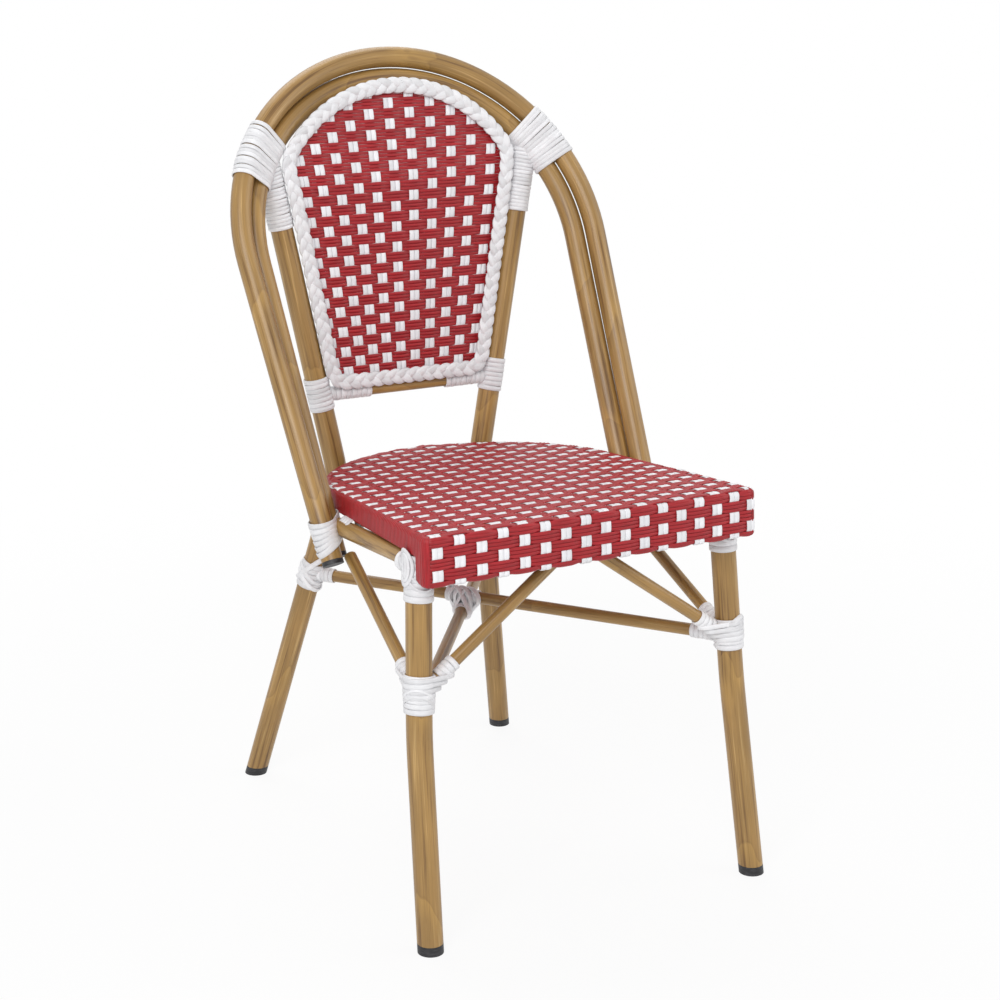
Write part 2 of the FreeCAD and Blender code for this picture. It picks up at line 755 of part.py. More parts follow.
def screw_places():
    """Where the screws stand, each between the middle of a rail and the middle of the ring."""
    inset = SEAT_THICKNESS / 2
    ring_x = seat_side_points(inset, SIDE_SCREW_Y - SEAT_FRONT_Y)[0].x
    ring_y = SEAT_ARC_Y + math.sqrt((seat_back_radius() - inset) ** 2 - BACK_SCREW_X ** 2)
    places = []
    for side in (LEFT, RIGHT):
        places.append((side * (front_leg_x() + ring_x) / 2, SIDE_SCREW_Y))
        places.append((side * BACK_SCREW_X, (back_rail_y() + ring_y) / 2))
    return places


def make_screw(place):
    x, y = place
    seat_depth = RAIL_DEPTH + RAIL_DIA / 2 + FIT
    seat = seat_point(x, y, seat_depth)
    head = cylinder(seat_point(x, y, seat_depth + SCREW_HEAD_HEIGHT), seat, SCREW_HEAD_DIA)
    shank = cylinder(seat, seat_point(x, y, SEAT_THICKNESS / 2), SCREW_DIA)
    return largest(head.fuse(shank))


def drilled(shape):
    """The piece with its screw holes."""
    for x, y in screw_places():
        start = seat_point(x, y, RAIL_DEPTH + RAIL_DIA)
        end = seat_point(x, y, SEAT_THICKNESS / 2 - FIT)
        shape = shape.cut(cylinder(start, end, SCREW_DIA + 2 * FIT))
    return largest(shape)


# Lashings

def make_shoulder_lashing(side):
    """Wide wrap round both hoops where the upright meets them."""
    front, rear = front_hoop(), rear_hoop()
    sections = []
    for degrees in (SHOULDER_FROM_DEG, (SHOULDER_FROM_DEG + SHOULDER_TO_DEG) / 2, SHOULDER_TO_DEG):
        direction = front.on_arch(side, degrees + 1) - front.on_arch(side, degrees - 1)
        sections.append(pair_section(front.on_arch(side, degrees), rear.on_arch(side, degrees), direction))
    rooms = [rod.room() for rod in (front.rod(), rear.rod(), rear_leg_rod(side))]
    rooms.append(panel_loop(BRAID_DIA + 2 * FIT))
    return bound([Part.makeLoft(sections, True)], rooms)


def make_upright_lashing(side):
    """Narrow wrap down the upright, below the shoulder."""
    upright = rear_leg_rod(side)
    start = upright_at(side, UPRIGHT_LASHING_FROM_Z)
    end = upright_at(side, UPRIGHT_LASHING_TO_Z)
    return bound([sleeve(upright, start, end)], [upright.room()])


def panel_lashing_outside(side, grow):
    start = upright_at(side, PANEL_LASHING_FROM_Z - grow)
    end = upright_at(side, PANEL_LASHING_TO_Z + grow)
    return cylinder(start, end, REAR_LEG_DIA + 2 * LASHING_THICKNESS + 2 * grow)


def make_panel_lashing(side):
    """Wrap round the upright at the bottom corner of the panel, open where the braid lies on it."""
    braid_room = Rod(panel_half_edges(side), BRAID_DIA + 2 * LASHING_GAP).body()
    rooms = [rear_leg_rod(side).room(), back_cross_rail_rod().room(), braid_room]
    return bound([panel_lashing_outside(side, 0)], rooms)


def make_cross_rail_lashing(side):
    """Wrap over the end of the back cross rail."""
    rail = back_cross_rail_rod()
    end = upright_at(side, BACK_CROSS_RAIL_Z)
    start = vec(side * CROSS_RAIL_LASHING_X, end.y, end.z)
    rooms = [rail.room(), panel_lashing_outside(side, FIT), panel_loop(BRAID_DIA + 2 * FIT)]
    return bound([sleeve(rail, start, end)], rooms)


def make_hoop_foot_lashing(side):
    """Wrap round both hoops and the end of the side rail."""
    front, rear, rail = front_hoop(), rear_hoop(), side_rail_rod(side)
    low, high = HOOP_FOOT_LASHING_FROM_Z, HOOP_FOOT_LASHING_TO_Z
    direction = front.on_leg(side, high) - front.on_leg(side, low)
    sections = [pair_section(front.on_leg(side, z), rear.on_leg(side, z), direction) for z in (low, high)]
    rail_reach = HOOP_DIA / 2 + HOOP_FOOT_RAIL_LENGTH
    rail_sleeve = sleeve(rail, rail.end, along(rail.end, rail.start, rail_reach))
    rooms = [rod.room() for rod in (front.rod(), rear.rod(), rail, side_brace_rod(side))]
    return bound([Part.makeLoft(sections, True, True), rail_sleeve], rooms + [seat_room()])


def make_leg_top_lashing(side):
    """Wrap round the top of the front leg and the ends of both rails."""
    leg, side_rail, front_rail = front_leg_rod(side), side_rail_rod(side), front_rail_rod()
    joint = side_rail.start
    # The sleeves of the two rails start inside the leg's sleeve, just clear of each other.
    inset = RAIL_DIA / 2 + LASHING_THICKNESS + FIT
    reach = FRONT_LEG_DIA / 2 + RAIL_LASHING_LENGTH
    sleeves = [sleeve(leg, front_leg_at(side, LEG_TOP_LASHING_Z), leg.end)]
    for rail, far_end in ((side_rail, side_rail.end), (front_rail, vec(0, joint.y, joint.z))):
        sleeves.append(sleeve(rail, along(joint, far_end, inset), along(joint, far_end, reach)))
    return bound(sleeves, [leg.room(), side_rail.room(), front_rail.room(), seat_room()])


def make_brace_lashing(side):
    """Wrap round the front leg where the braces and a stretcher meet it."""
    leg, stretcher = front_leg_rod(side), stretcher_rod(-side)
    braces = [side_brace_rod(side), front_brace_rod(side)]
    reach = FRONT_LEG_DIA / 2 + STRUT_LASHING_LENGTH
    sleeves = [
        sleeve(leg, front_leg_at(side, BRACE_LASHING_FROM_Z), front_leg_at(side, BRACE_LASHING_TO_Z)),
        sleeve(stretcher, stretcher.end, along(stretcher.end, stretcher.start, reach)),
    ]
    for brace in braces:
        sleeves.append(sleeve(brace, brace.start, along(brace.start, brace.end, reach)))
    return bound(sleeves, [rod.room() for rod in [leg, stretcher] + braces])


def make_rear_leg_lashing(side):
    """Wrap round the rear leg and the end of its stretcher."""
    leg, stretcher = rear_leg_rod(side), stretcher_rod(side)
    joint = stretcher.start
    half = REAR_LASHING_LENGTH / 2
    reach = REAR_LEG_DIA / 2 + STRUT_LASHING_LENGTH
    sleeves = [
        sleeve(leg, rear_leg_at(side, joint.z - half), rear_leg_at(side, joint.z + half)),
        sleeve(stretcher, joint, along(joint, stretcher.end, reach)),
    ]
    return bound(sleeves, [leg.room(), stretcher.room()])


def make_seat_back_lashing(side):
    """Wrap round the bend of the rear leg and the end of the rail under the back of the seat."""
    leg, rail = rear_leg_rod(side), back_rail_rod()
    end = seat_point(side * (REAR_BEND_X + SEAT_BACK_RAIL_END), back_rail_y(), RAIL_DEPTH)
    inner = seat_point(side * (REAR_BEND_X - REAR_LEG_DIA), back_rail_y(), RAIL_DEPTH)
    half = SEAT_BACK_LASHING_LENGTH / 2
    middle = rear_leg_at(side, end.z)
    around_leg = sleeve(leg, rear_leg_at(side, middle.z - half), rear_leg_at(side, middle.z + half))
    return bound([around_leg, sleeve(rail, inner, end)], [leg.room(), rail.room(), seat_room()])


def make_crossing_lashing():
    """Wrap where the two stretchers cross."""
    rods = [stretcher_rod(side) for side in (LEFT, RIGHT)]
    half = CROSSING_LASHING_LENGTH / 2
    sleeves = []
    for rod in rods:
        crossing = rod.start + (rod.end - rod.start) * (rod.start.x / (rod.start.x - rod.end.x))
        sleeves.append(sleeve(rod, along(crossing, rod.end, -half), along(crossing, rod.end, half)))
    return bound(sleeves, [rod.room() for rod in rods])


def middle_pieces():
    """Pieces on the middle of the chair, and the two stretchers."""
    front_legs = [front_leg_rod(side) for side in (LEFT, RIGHT)]
    rear_legs = [rear_leg_rod(side) for side in (LEFT, RIGHT)]
    side_rails = [side_rail_rod(side) for side in (LEFT, RIGHT)]
    return {
        "hoop_front": front_hoop().rod().tube(),
        "hoop_rear": rear_hoop().rod().tube(),
        "cross_stretcher_upper": stretcher_rod(LEFT).coped(rear_legs + front_legs),
        "cross_stretcher_lower": stretcher_rod(RIGHT).coped(rear_legs + front_legs),
        "seat_front_rail": front_rail_rod().coped(front_legs + side_rails),
        "seat_back_rail": drilled(back_rail_rod().coped(rear_legs)),
        "seat_frame": make_seat_frame(),
        "seat_weave": make_seat_weave(),
        "seat_screws": Part.makeCompound([make_screw(place) for place in screw_places()]),
        "back_cross_rail": back_cross_rail_rod().coped(rear_legs),
        "back_panel_frame": make_panel_frame(),
        "back_weave": make_back_weave(),
        "back_braid": make_back_braid(),
        "lashing_stretcher_crossing": make_crossing_lashing(),
    }


def side_pieces():
    """Pieces that the right side mirrors from the left."""
    front_leg, rear_leg = front_leg_rod(LEFT), rear_leg_rod(LEFT)
    front, rear = front_hoop(), rear_hoop()
    return {
        "front_leg": make_leg(front_leg, []),
        "rear_leg": make_leg(rear_leg, [rear.rod()]),
        "seat_side_rail": drilled(side_rail_rod(LEFT).coped([front_leg, front.rod(), rear.rod()])),
        "front_brace": front_brace_rod(LEFT).coped([front_leg, front_rail_rod()]),
        "foot_plug_front": make_foot_plug(front_leg),
        "foot_plug_rear": make_foot_plug(rear_leg),
        "hoop_plug_front": front.plug(LEFT),
        "hoop_plug_rear": rear.plug(LEFT),
        "lashing_shoulder": make_shoulder_lashing(LEFT),
        "lashing_upright": make_upright_lashing(LEFT),
        "lashing_panel": make_panel_lashing(LEFT),
        "lashing_cross_rail": make_cross_rail_lashing(LEFT),
        "lashing_hoop_foot": make_hoop_foot_lashing(LEFT),
        "lashing_front_leg_top": make_leg_top_lashing(LEFT),
        "lashing_seat_back": make_seat_back_lashing(LEFT),
    }


def stretcher_side_pieces(side):
    """Pieces shaped by the stretcher at their level, which differs from side to side."""
    others = [front_leg_rod(side), rear_hoop().rod(), stretcher_rod(-side)]
    return {
        "side_brace": side_brace_rod(side).coped(others),
        "lashing_brace": make_brace_lashing(side),
        "lashing_rear_leg": make_rear_leg_lashing(side),
    }


def make_chair():
    """Every piece by its node name."""
    pieces = middle_pieces()
    for name, shape in side_pieces().items():
        pieces[name + "_left"] = shape
        pieces[name + "_right"] = mirrored(shape)
    for side, side_name in SIDE_NAMES.items():
        for name, shape in stretcher_side_pieces(side).items():
            pieces[name + "_" + side_name] = shape
    return pieces


for name, shape in make_chair().items():
    shape.exportStep("parts/" + name + ".step")
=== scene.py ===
import math
import random

import bpy
import bmesh
import numpy as np
from mathutils import Matrix, Vector


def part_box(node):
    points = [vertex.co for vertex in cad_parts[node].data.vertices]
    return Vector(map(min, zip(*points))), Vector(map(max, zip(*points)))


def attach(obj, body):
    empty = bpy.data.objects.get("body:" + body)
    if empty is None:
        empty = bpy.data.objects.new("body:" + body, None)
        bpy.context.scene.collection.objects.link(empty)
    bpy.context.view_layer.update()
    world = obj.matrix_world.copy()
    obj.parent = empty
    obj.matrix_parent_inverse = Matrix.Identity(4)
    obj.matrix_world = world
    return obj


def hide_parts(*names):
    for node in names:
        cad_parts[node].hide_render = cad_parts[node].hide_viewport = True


# Bistro chair: the CAD frame with bamboo-look tubes, strand by strand lashings, plait and check weave.
# Metres, +Z up, the front faces -Y, left is -X.

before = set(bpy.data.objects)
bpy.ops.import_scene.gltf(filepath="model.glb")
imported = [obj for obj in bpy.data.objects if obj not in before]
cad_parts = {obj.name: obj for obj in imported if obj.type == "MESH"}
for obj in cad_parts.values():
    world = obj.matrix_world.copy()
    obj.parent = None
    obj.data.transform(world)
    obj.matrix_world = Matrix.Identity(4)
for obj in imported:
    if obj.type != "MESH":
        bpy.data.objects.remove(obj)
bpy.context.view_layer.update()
random.seed(11)

LEFT, RIGHT = -1, 1
SIDE_NAMES = {LEFT: "left", RIGHT: "right"}
X_AXIS, Y_AXIS, Z_AXIS = np.eye(3)

# Camera at the photograph's view
CAMERA_PLACE = (-1.178, -2.180, 1.0976)
CAMERA_AZIMUTH_DEG = -28.92
CAMERA_ELEVATION_DEG = 15.85
CAMERA_ROLL_DEG = 0.12
CAMERA_SENSOR = 36.0
CAMERA_LENS = 80.86
CAMERA_SHIFT_Y = 0.004

# Lamps with their place, size and power, and the white surroundings
LAMPS = {
    "key": ((-2.4, -2.6, 2.9), 2.6, 98.0),
    "fill": ((2.8, -1.6, 1.9), 2.4, 26.0),
    "top": ((0.3, 1.6, 3.0), 2.2, 32.0),
}
LAMP_AIM = (0.0, 0.0, 0.5)
AMBIENT = 0.42
FLOOR_SIZE = 14.0
FLOOR_GREY = 0.9
FLOOR_GLOW = 0.9
FLOOR_FADE = (0.5, 1.6)

# Bamboo paint
BAMBOO_BASE = (0.385, 0.225, 0.072)
BAMBOO_DARK = (0.175, 0.088, 0.026)
BAMBOO_LIGHT = (0.63, 0.41, 0.165)
BAMBOO_PATCH = (0.66, 0.40, 0.11)
BAMBOO_RINGS_PER_METRE = 4.6
BAMBOO_RING_WOBBLE = 0.25

# Strands: dark, base and pale colours, and sizes
RED_TONES = (0.24, 0.005, 0.009), (0.37, 0.008, 0.014), (0.46, 0.014, 0.022)
WHITE_TONES = (0.83, 0.83, 0.86), (0.89, 0.89, 0.92), (0.93, 0.93, 0.95)
LASHING_TONES = (0.80, 0.80, 0.82), (0.87, 0.87, 0.89), (0.92, 0.92, 0.94)
WEAVE_THICKNESS = 0.0012
WEAVE_SWING = 0.0009
WEAVE_FLATNESS = 1.8
STRANDS_PER_BAND = 3
STEPS_PER_ROW = 6
LASHING_STRAND = 0.0017

# Lashings: strand widths, spans along a tube and steps between turns
TURN_WANDER_DEG = 2.0
TURN_OVERLAP = 1.04
SLEEVE_END = 0.002
NO_TRIM = (0.0, 0.0)
SHOULDER_TURNS = 13
UPRIGHT_WIDTH = 0.0045
UPRIGHT_TRIM = (SLEEVE_END, 0.026)
PANEL_WIDTH = 0.0054
PANEL_TRIM = (SLEEVE_END, -SLEEVE_END)
CROSS_RAIL_WIDTH = 0.007
SEAT_BACK_WIDTH = 0.006
SEAT_BACK_TRIM = (0.003, -0.003)
HOOP_FAN_TURNS = 6
HOOP_FAN_WIDTH = 0.0078
HOOP_FAN_Z = 0.402
HOOP_FAN_RISE = 0.016
HOOP_FAN_REACH = 0.022
HOOP_FAN_INWARD, HOOP_FAN_FORWARD = 0.875, 0.484
HOOP_FAN_FROM_DEG = 10.0
HOOP_FAN_SPREAD_DEG = 28.0
HOOP_RAIL_WIDTH = 0.0068
HOOP_RAIL_SPAN = (0.002, 0.026)
HOOP_RAIL_TILT_DEG = 8.0
COLLAR_STEPS = (0.001, 0.006)
LEG_TOP_WIDTH = 0.0072
LEG_TOP_TRIM = (0.001, 0.0)
LEG_TOP_TILT_DEG = 2.0
LEG_TOP_COLLAR_WIDTH = 0.0062
LEG_TOP_RAIL_WIDTH = 0.0056
LEG_TOP_RAIL_SPAN = (-0.004, 0.011)
FRONT_RAIL_WIDTH = 0.006
FRONT_RAIL_SPAN = (0.012, 0.031)
COIL_TURNS = 3
COIL_WIDTH = 0.0042
COIL_CORE = 0.007
COIL_START = 0.7
COIL_LAYER = 1.8
BRACE_WIDTH = 0.0058
BRACE_TILT_DEG = 2.5
BRACE_STEPS = (0.001, 0.007, 0.013, 0.019)
BRACE_END_SPAN = (0.010, 0.034)
FRONT_STRETCHER_WIDTH = 0.0056
FRONT_STRETCHER_SPAN = (-0.003, 0.030)
REAR_LEG_WIDTH = 0.0062
REAR_LEG_TILT_DEG = 4.0
REAR_SLANT_WIDTH = 0.0064
REAR_SLANT_SETBACK = 0.005
REAR_STRETCHER_WIDTH = 0.005
REAR_STRETCHER_SPAN = (-0.003, 0.019)
CROSSING_STEP = 0.0062
CROSSING_WIDTH = 0.0064
CROSSING_END_WIDTH = 0.005
CROSSING_LENGTH = 0.042

# Back weave
BACK_COLUMNS = 5
BACK_PITCH = 0.0180
BACK_PITCH_RISE = 0.0270
BACK_SPREAD = 0.00023
BACK_SHIFT = -0.0095
BACK_FIRST_ROW = 0.011
BACK_ROW = 0.01187
BACK_STRAND = BACK_ROW / STRANDS_PER_BAND
BACK_TOP_GAP = 0.004
BACK_STEP = 0.0036
BACK_WHITE_WIDTH = 0.0062

# Plait round the back weave
PLAIT_STRANDS = 3
PLAIT_CYCLE = 0.040
PLAIT_STEP = 0.0022
PLAIT_SWING = 0.0047
PLAIT_LIFT = 0.0012
PLAIT_STRAND_WIDTH = 0.0098
PLAIT_STRAND_THICKNESS = 0.0024
PLAIT_PROUD = 0.0066
PLAIT_TURN_IN_DEG = 3.0
PLAIT_SIDEWAYS = -0.0025
TUBE_WRAP_WIDTH = 0.0058
TUBE_WRAP_STEPS = 12

# Seat weave
SEAT_COLUMNS = 17
SEAT_MIDDLE = 0.004
SEAT_BOW = 0.007
SEAT_PITCH = 0.024
SEAT_PITCH_LOSS = 0.0065
SEAT_DRIFT = 0.0135
SEAT_ROW = 0.01187
SEAT_STRAND = SEAT_ROW / STRANDS_PER_BAND
SEAT_FIRST_ROW = 0.0070
SEAT_LAST_ROW = 35
SEAT_STEP = 0.0037
APRON_ROWS = 6
SEAT_WHITE_PITCH = 0.0061
SEAT_WHITE_WIDTH = 0.0064
SEAT_WHITE_SINK = 0.0003
SEAT_INSET = WEAVE_SWING + WEAVE_THICKNESS / 2
SEAT_TOP_ROUND = 0.007
SEAT_UNDER_ROUND = 0.005
SEAT_CORNER_RADIUS = 0.0085
SEAT_TUCK = 0.016
SEAT_STRETCH_LIMIT = 4.0
EDGE_STEP = 0.002
APRON_END_SINK = 0.0016
CORNER_STRIPS = 4
CORNER_STRIP_FROM_DEG = 30.0
BACK_STRIP_REACH = 0.152
BACK_STRIP_SPACING = SEAT_STRAND * 0.85


# Reading the CAD frame

def unit(vectors):
    return vectors / np.linalg.norm(vectors, axis=-1, keepdims=True)


MESHES = {}


def mesh_arrays(node):
    """Corner points and edges of a CAD node."""
    if node not in MESHES:
        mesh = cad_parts[node].data
        points = np.array([v.co for v in mesh.vertices], float)
        edges = np.array([e.vertices for e in mesh.edges], int)
        MESHES[node] = points, edges
    return MESHES[node]


def cut(node, point, normal, toward=None):
    """Points where a plane cuts a CAD node, on one side of the point if a direction is given."""
    points, edges = mesh_arrays(node)
    height = (points - point) @ normal
    first, second = height[edges[:, 0]], height[edges[:, 1]]
    crossing = (first < 0) != (second < 0)
    share = (first / np.where(first == second, 1, first - second))[crossing, None]
    ends = edges[crossing]
    found = points[ends[:, 0]] * (1 - share) + points[ends[:, 1]] * share
    if toward is not None:
        found = found[(found - point) @ toward > 0]
    return found


def middle(points):
    return (points.min(0) + points.max(0)) / 2


class Tube:
    """Straight stretch of tube: a point of its middle line, its direction and its radius."""

    def __init__(self, point, direction, radius):
        self.point = point
        self.direction = direction
        self.radius = radius

    def at(self, axis, level):
        """Point of the middle line at a level along a world axis."""
        return self.point + self.direction * ((level - self.point @ axis) / (self.direction @ axis))

    def nearest(self, other):
        """Point of this middle line that comes nearest to another tube's."""
        between = np.cross(self.direction, other.direction)
        normal = np.cross(other.direction, between)
        step = ((other.point - self.point) @ normal) / (self.direction @ normal)
        return self.point + self.direction * step


def cad_tube(node, axis, level_a, level_b, side=0):
    """The straight stretch of a CAD tube between two levels along a world axis."""
    toward = side * X_AXIS if side else None
    cuts = [cut(node, axis * level, axis, toward) for level in (level_a, level_b)]
    point = middle(cuts[0])
    direction = unit(middle(cuts[1]) - point)
    offset = cuts[0] - point
    across = offset - np.outer(offset @ direction, direction)
    return Tube(point, direction, np.linalg.norm(across, axis=1).max())


class Hoop:
    """Arch and legs of one hoop."""

    def __init__(self, node):
        self.legs = {side: cad_tube(node, Z_AXIS, 0.44, 0.60, side) for side in SIDE_NAMES}
        leg = self.legs[RIGHT].direction
        self.up = unit(np.array([0.0, leg[1], leg[2]]))
        self.converge = math.asin(leg[0])
        self.tube_radius = self.legs[RIGHT].radius
        self.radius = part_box(node)[1].x - self.tube_radius
        top = middle(cut(node, np.zeros(3), X_AXIS))
        self.centre = top - self.up * self.radius

    def angle_of(self, points):
        """Degrees above the level of the centre."""
        offset = points - self.centre
        return np.degrees(np.arctan2(offset @ self.up, np.abs(offset[:, 0])))

    def arch_tube(self, side, degrees):
        """The arch near one angle, as a short straight tube."""
        angle = math.radians(degrees)
        out = side * X_AXIS * math.cos(angle) + self.up * math.sin(angle)
        along = self.up * math.cos(angle) - side * X_AXIS * math.sin(angle)
        return Tube(self.centre + out * self.radius, along, self.tube_radius)


HOOPS = {name: Hoop("hoop_" + name) for name in ("front", "rear")}


def side_tubes(side):
    """Straight tubes that meet at the joints of one side."""
    name = "_" + SIDE_NAMES[side]
    upper, lower = "cross_stretcher_upper", "cross_stretcher_lower"
    return {
        "front_leg": cad_tube("front_leg" + name, Z_AXIS, 0.27, 0.40),
        "front_leg_foot": cad_tube("front_leg" + name, Z_AXIS, 0.03, 0.17),
        "rear_leg": cad_tube("rear_leg" + name, Z_AXIS, 0.05, 0.32),
        "upright": cad_tube("rear_leg" + name, Z_AXIS, 0.47, 0.68),
        "seat_side_rail": cad_tube("seat_side_rail" + name, Y_AXIS, -0.12, 0.0),
        "front_brace": cad_tube("front_brace" + name, X_AXIS, side * 0.06, side * 0.13),
        "side_brace": cad_tube("side_brace" + name, Z_AXIS, 0.30, 0.35),
        "rear_stretcher": cad_tube(upper if side == LEFT else lower, Y_AXIS, 0.14, 0.04),
        "front_stretcher": cad_tube(lower if side == LEFT else upper, Y_AXIS, -0.14, -0.06),
    }


TUBES = {side: side_tubes(side) for side in SIDE_NAMES}
CROSS_RAIL = cad_tube("back_cross_rail", X_AXIS, -0.03, 0.03)
FRONT_RAIL = cad_tube("seat_front_rail", X_AXIS, -0.10, 0.10)
BACK_RAIL = cad_tube("seat_back_rail", X_AXIS, -0.02, 0.02)
STRETCHERS = [cad_tube("cross_stretcher_" + name, Y_AXIS, -0.14, 0.14) for name in ("upper", "lower")]


# Shader nodes

def add(tree, kind, inputs=None, **settings):
    """A shader node with its settings, its input values and its links."""
    made = tree.nodes.new("ShaderNode" + kind)
    for key, value in settings.items():
        setattr(made, key, value)
    for key, value in (inputs or {}).items():
        socket = made.inputs[key]
        if isinstance(value, bpy.types.NodeSocket):
            tree.links.new(value, socket)
        else:
            socket.default_value = value
    return made


def calc(tree, kind, *values):
    """Result of a math node."""
    return add(tree, "Math", dict(enumerate(values)), operation=kind).outputs[0]


def vector_calc(tree, kind, first, second):
    """Vector that a vector math node gives."""
    return add(tree, "VectorMath", {0: first, 1: second}, operation=kind).outputs[0]


def dot(tree, first, second):
    return add(tree, "VectorMath", {0: first, 1: second}, operation="DOT_PRODUCT").outputs["Value"]


def grey(level):
    return (level, level, level)


def opaque(colour):
    return (*colour, 1.0)


def ramp(tree, factor, *stops):
    """Colour ramp with (place, colour) stops."""
    made = add(tree, "ValToRGB", {"Fac": factor})
    elements = made.color_ramp.elements
    while len(elements) < len(stops):
        elements.new(0.5)
    for element, (place, colour) in zip(elements, stops):
        element.position = place
        element.color = opaque(colour)
    return made.outputs["Color"]


def grey_ramp(tree, factor, *stops):
    """Colour ramp with (place, level) stops."""
    return ramp(tree, factor, *((place, grey(level)) for place, level in stops))


def tinted(tree, kind, factor, first, second):
    """Two colours mixed by a factor, blended in the given way."""
    inputs = {"Factor": factor, 6: first, 7: second}
    return add(tree, "Mix", inputs, data_type="RGBA", blend_type=kind).outputs[2]


def empty_tree(owner):
    """Node tree of a material or a world, with nothing in it."""
    owner.use_nodes = True
    owner.node_tree.nodes.clear()
    return owner.node_tree


def new_material(name):
    """A node material with only its principled shader."""
    material = bpy.data.materials.new(name)
    tree = empty_tree(material)
    shader = add(tree, "BsdfPrincipled")
    add(tree, "OutputMaterial", {"Surface": shader.outputs["BSDF"]})
    return material, tree, shader


def feed(tree, shader, colour, roughness, normal):
    """Links colour, roughness and normal to the shader."""
    for name, value in (("Base Color", colour), ("Roughness", roughness), ("Normal", normal)):
        tree.links.new(value, shader.inputs[name])


def object_place(tree):
    return add(tree, "TexCoord").outputs["Object"]


def noise(tree, vector, scale, detail=2.0, roughness=0.5):
    """Noise stretched by its own scale along each coordinate."""
    stretched = vector_calc(tree, "MULTIPLY", vector, scale)
    inputs = {"Vector": stretched, "Scale": 1.0, "Detail": detail, "Roughness": roughness}
    return add(tree, "TexNoise", inputs).outputs["Fac"]


def bump(tree, height, distance, strength):
    inputs = {"Height": height, "Distance": distance, "Strength": strength}
    return add(tree, "Bump", inputs).outputs["Normal"]


# Bamboo paint, drawn along each tube

def turned_frame(direction):
    """Rotation whose Z runs along a direction."""
    return Vector((0, 0, 1)).rotation_difference(Vector(direction))


def run_coordinates(tree, place, point, turn):
    """Coordinates with Z along a straight run of tube, measured from a point on it."""
    inputs = {"Vector": place, "Location": tuple(point), "Rotation": tuple(turn.to_euler())}
    return add(tree, "Mapping", inputs, vector_type="TEXTURE").outputs["Vector"]


def straight_coordinates(tree, place, tube):
    return run_coordinates(tree, place, tube.point, turned_frame(tube.direction))


def bent_coordinates(tree, place, lower, upper):
    """Coordinates along a tube of two runs, which change over at the bend."""
    bend = lower.nearest(upper)
    first = turned_frame(lower.direction)
    second = Vector(lower.direction).rotation_difference(Vector(upper.direction)) @ first
    runs = [run_coordinates(tree, place, bend, turn) for turn in (first, second)]
    across = unit(lower.direction + upper.direction)
    height = dot(tree, vector_calc(tree, "SUBTRACT", place, tuple(bend)), tuple(across))
    above = calc(tree, "GREATER_THAN", height, 0.0)
    inputs = {"Factor": above, 4: runs[0], 5: runs[1]}
    return add(tree, "Mix", inputs, data_type="VECTOR").outputs[1]


def hoop_coordinates(tree, place, hoop):
    """Radius, depth and length along a hoop: polar round the arch, straight down the legs."""
    offset = vector_calc(tree, "SUBTRACT", place, tuple(hoop.centre))
    side = add(tree, "SeparateXYZ", {0: offset}).outputs[0]
    rise = dot(tree, offset, tuple(hoop.up))
    depth = dot(tree, offset, tuple(np.cross(X_AXIS, hoop.up)))
    above = calc(tree, "MAXIMUM", rise, 0.0)
    below = calc(tree, "MAXIMUM", calc(tree, "MULTIPLY", rise, -1.0), 0.0)
    squares = [calc(tree, "POWER", value, 2.0) for value in (above, side)]
    reach = calc(tree, "SQRT", calc(tree, "ADD", *squares))
    reach = calc(tree, "MULTIPLY_ADD", below, math.tan(hoop.converge), reach)
    turn = calc(tree, "MULTIPLY", calc(tree, "ARCTAN2", side, above), hoop.radius)
    length = calc(tree, "MULTIPLY_ADD", calc(tree, "SIGN", side), below, turn)
    return add(tree, "CombineXYZ", {0: reach, 1: depth, 2: length}).outputs[0]


def bamboo_material(name, coordinates, *tubes):
    """Satin painted bamboo look: long streaks, fine grain, pale patches and faint rings."""
    material, tree, shader = new_material(name)
    path = coordinates(tree, object_place(tree), *tubes)
    shift = (random.uniform(0, 3), random.uniform(0, 3), random.uniform(0, 3))
    path = vector_calc(tree, "ADD", path, shift)
    streak = noise(tree, path, (210, 210, 5.5), 4.0, 0.62)
    grain = noise(tree, path, (900, 900, 16))
    patch = noise(tree, path, (26, 26, 8))
    stops = (0.33, BAMBOO_DARK), (0.47, BAMBOO_BASE), (0.57, BAMBOO_BASE), (0.74, BAMBOO_LIGHT)
    colour = ramp(tree, streak, *stops)
    colour = tinted(tree, "MULTIPLY", 0.55, colour, grey_ramp(tree, grain, (0.25, 0.72), (0.75, 1.15)))
    colour = tinted(tree, "MULTIPLY", 0.8, colour, grey_ramp(tree, patch, (0.3, 0.78), (0.7, 1.18)))
    length = add(tree, "SeparateXYZ", {0: path}).outputs[2]
    wobble = calc(tree, "MULTIPLY_ADD", patch, BAMBOO_RING_WOBBLE, length)
    ring = calc(tree, "FRACT", calc(tree, "MULTIPLY", wobble, BAMBOO_RINGS_PER_METRE))
    pale = grey_ramp(tree, ring, (0.0, 0.0), (0.30, 0.0), (0.47, 0.22), (0.485, 0.0))
    dark = grey_ramp(tree, ring, (0.47, 0.0), (0.487, 0.22), (0.50, 0.08), (0.58, 0.0))
    colour = tinted(tree, "MIX", pale, colour, opaque(BAMBOO_PATCH))
    colour = tinted(tree, "MIX", dark, colour, opaque(BAMBOO_DARK))
    rough = grey_ramp(tree, grain, (0.2, 0.26), (0.8, 0.40))
    feed(tree, shader, colour, rough, bump(tree, streak, 0.0004, 0.35))
    return material


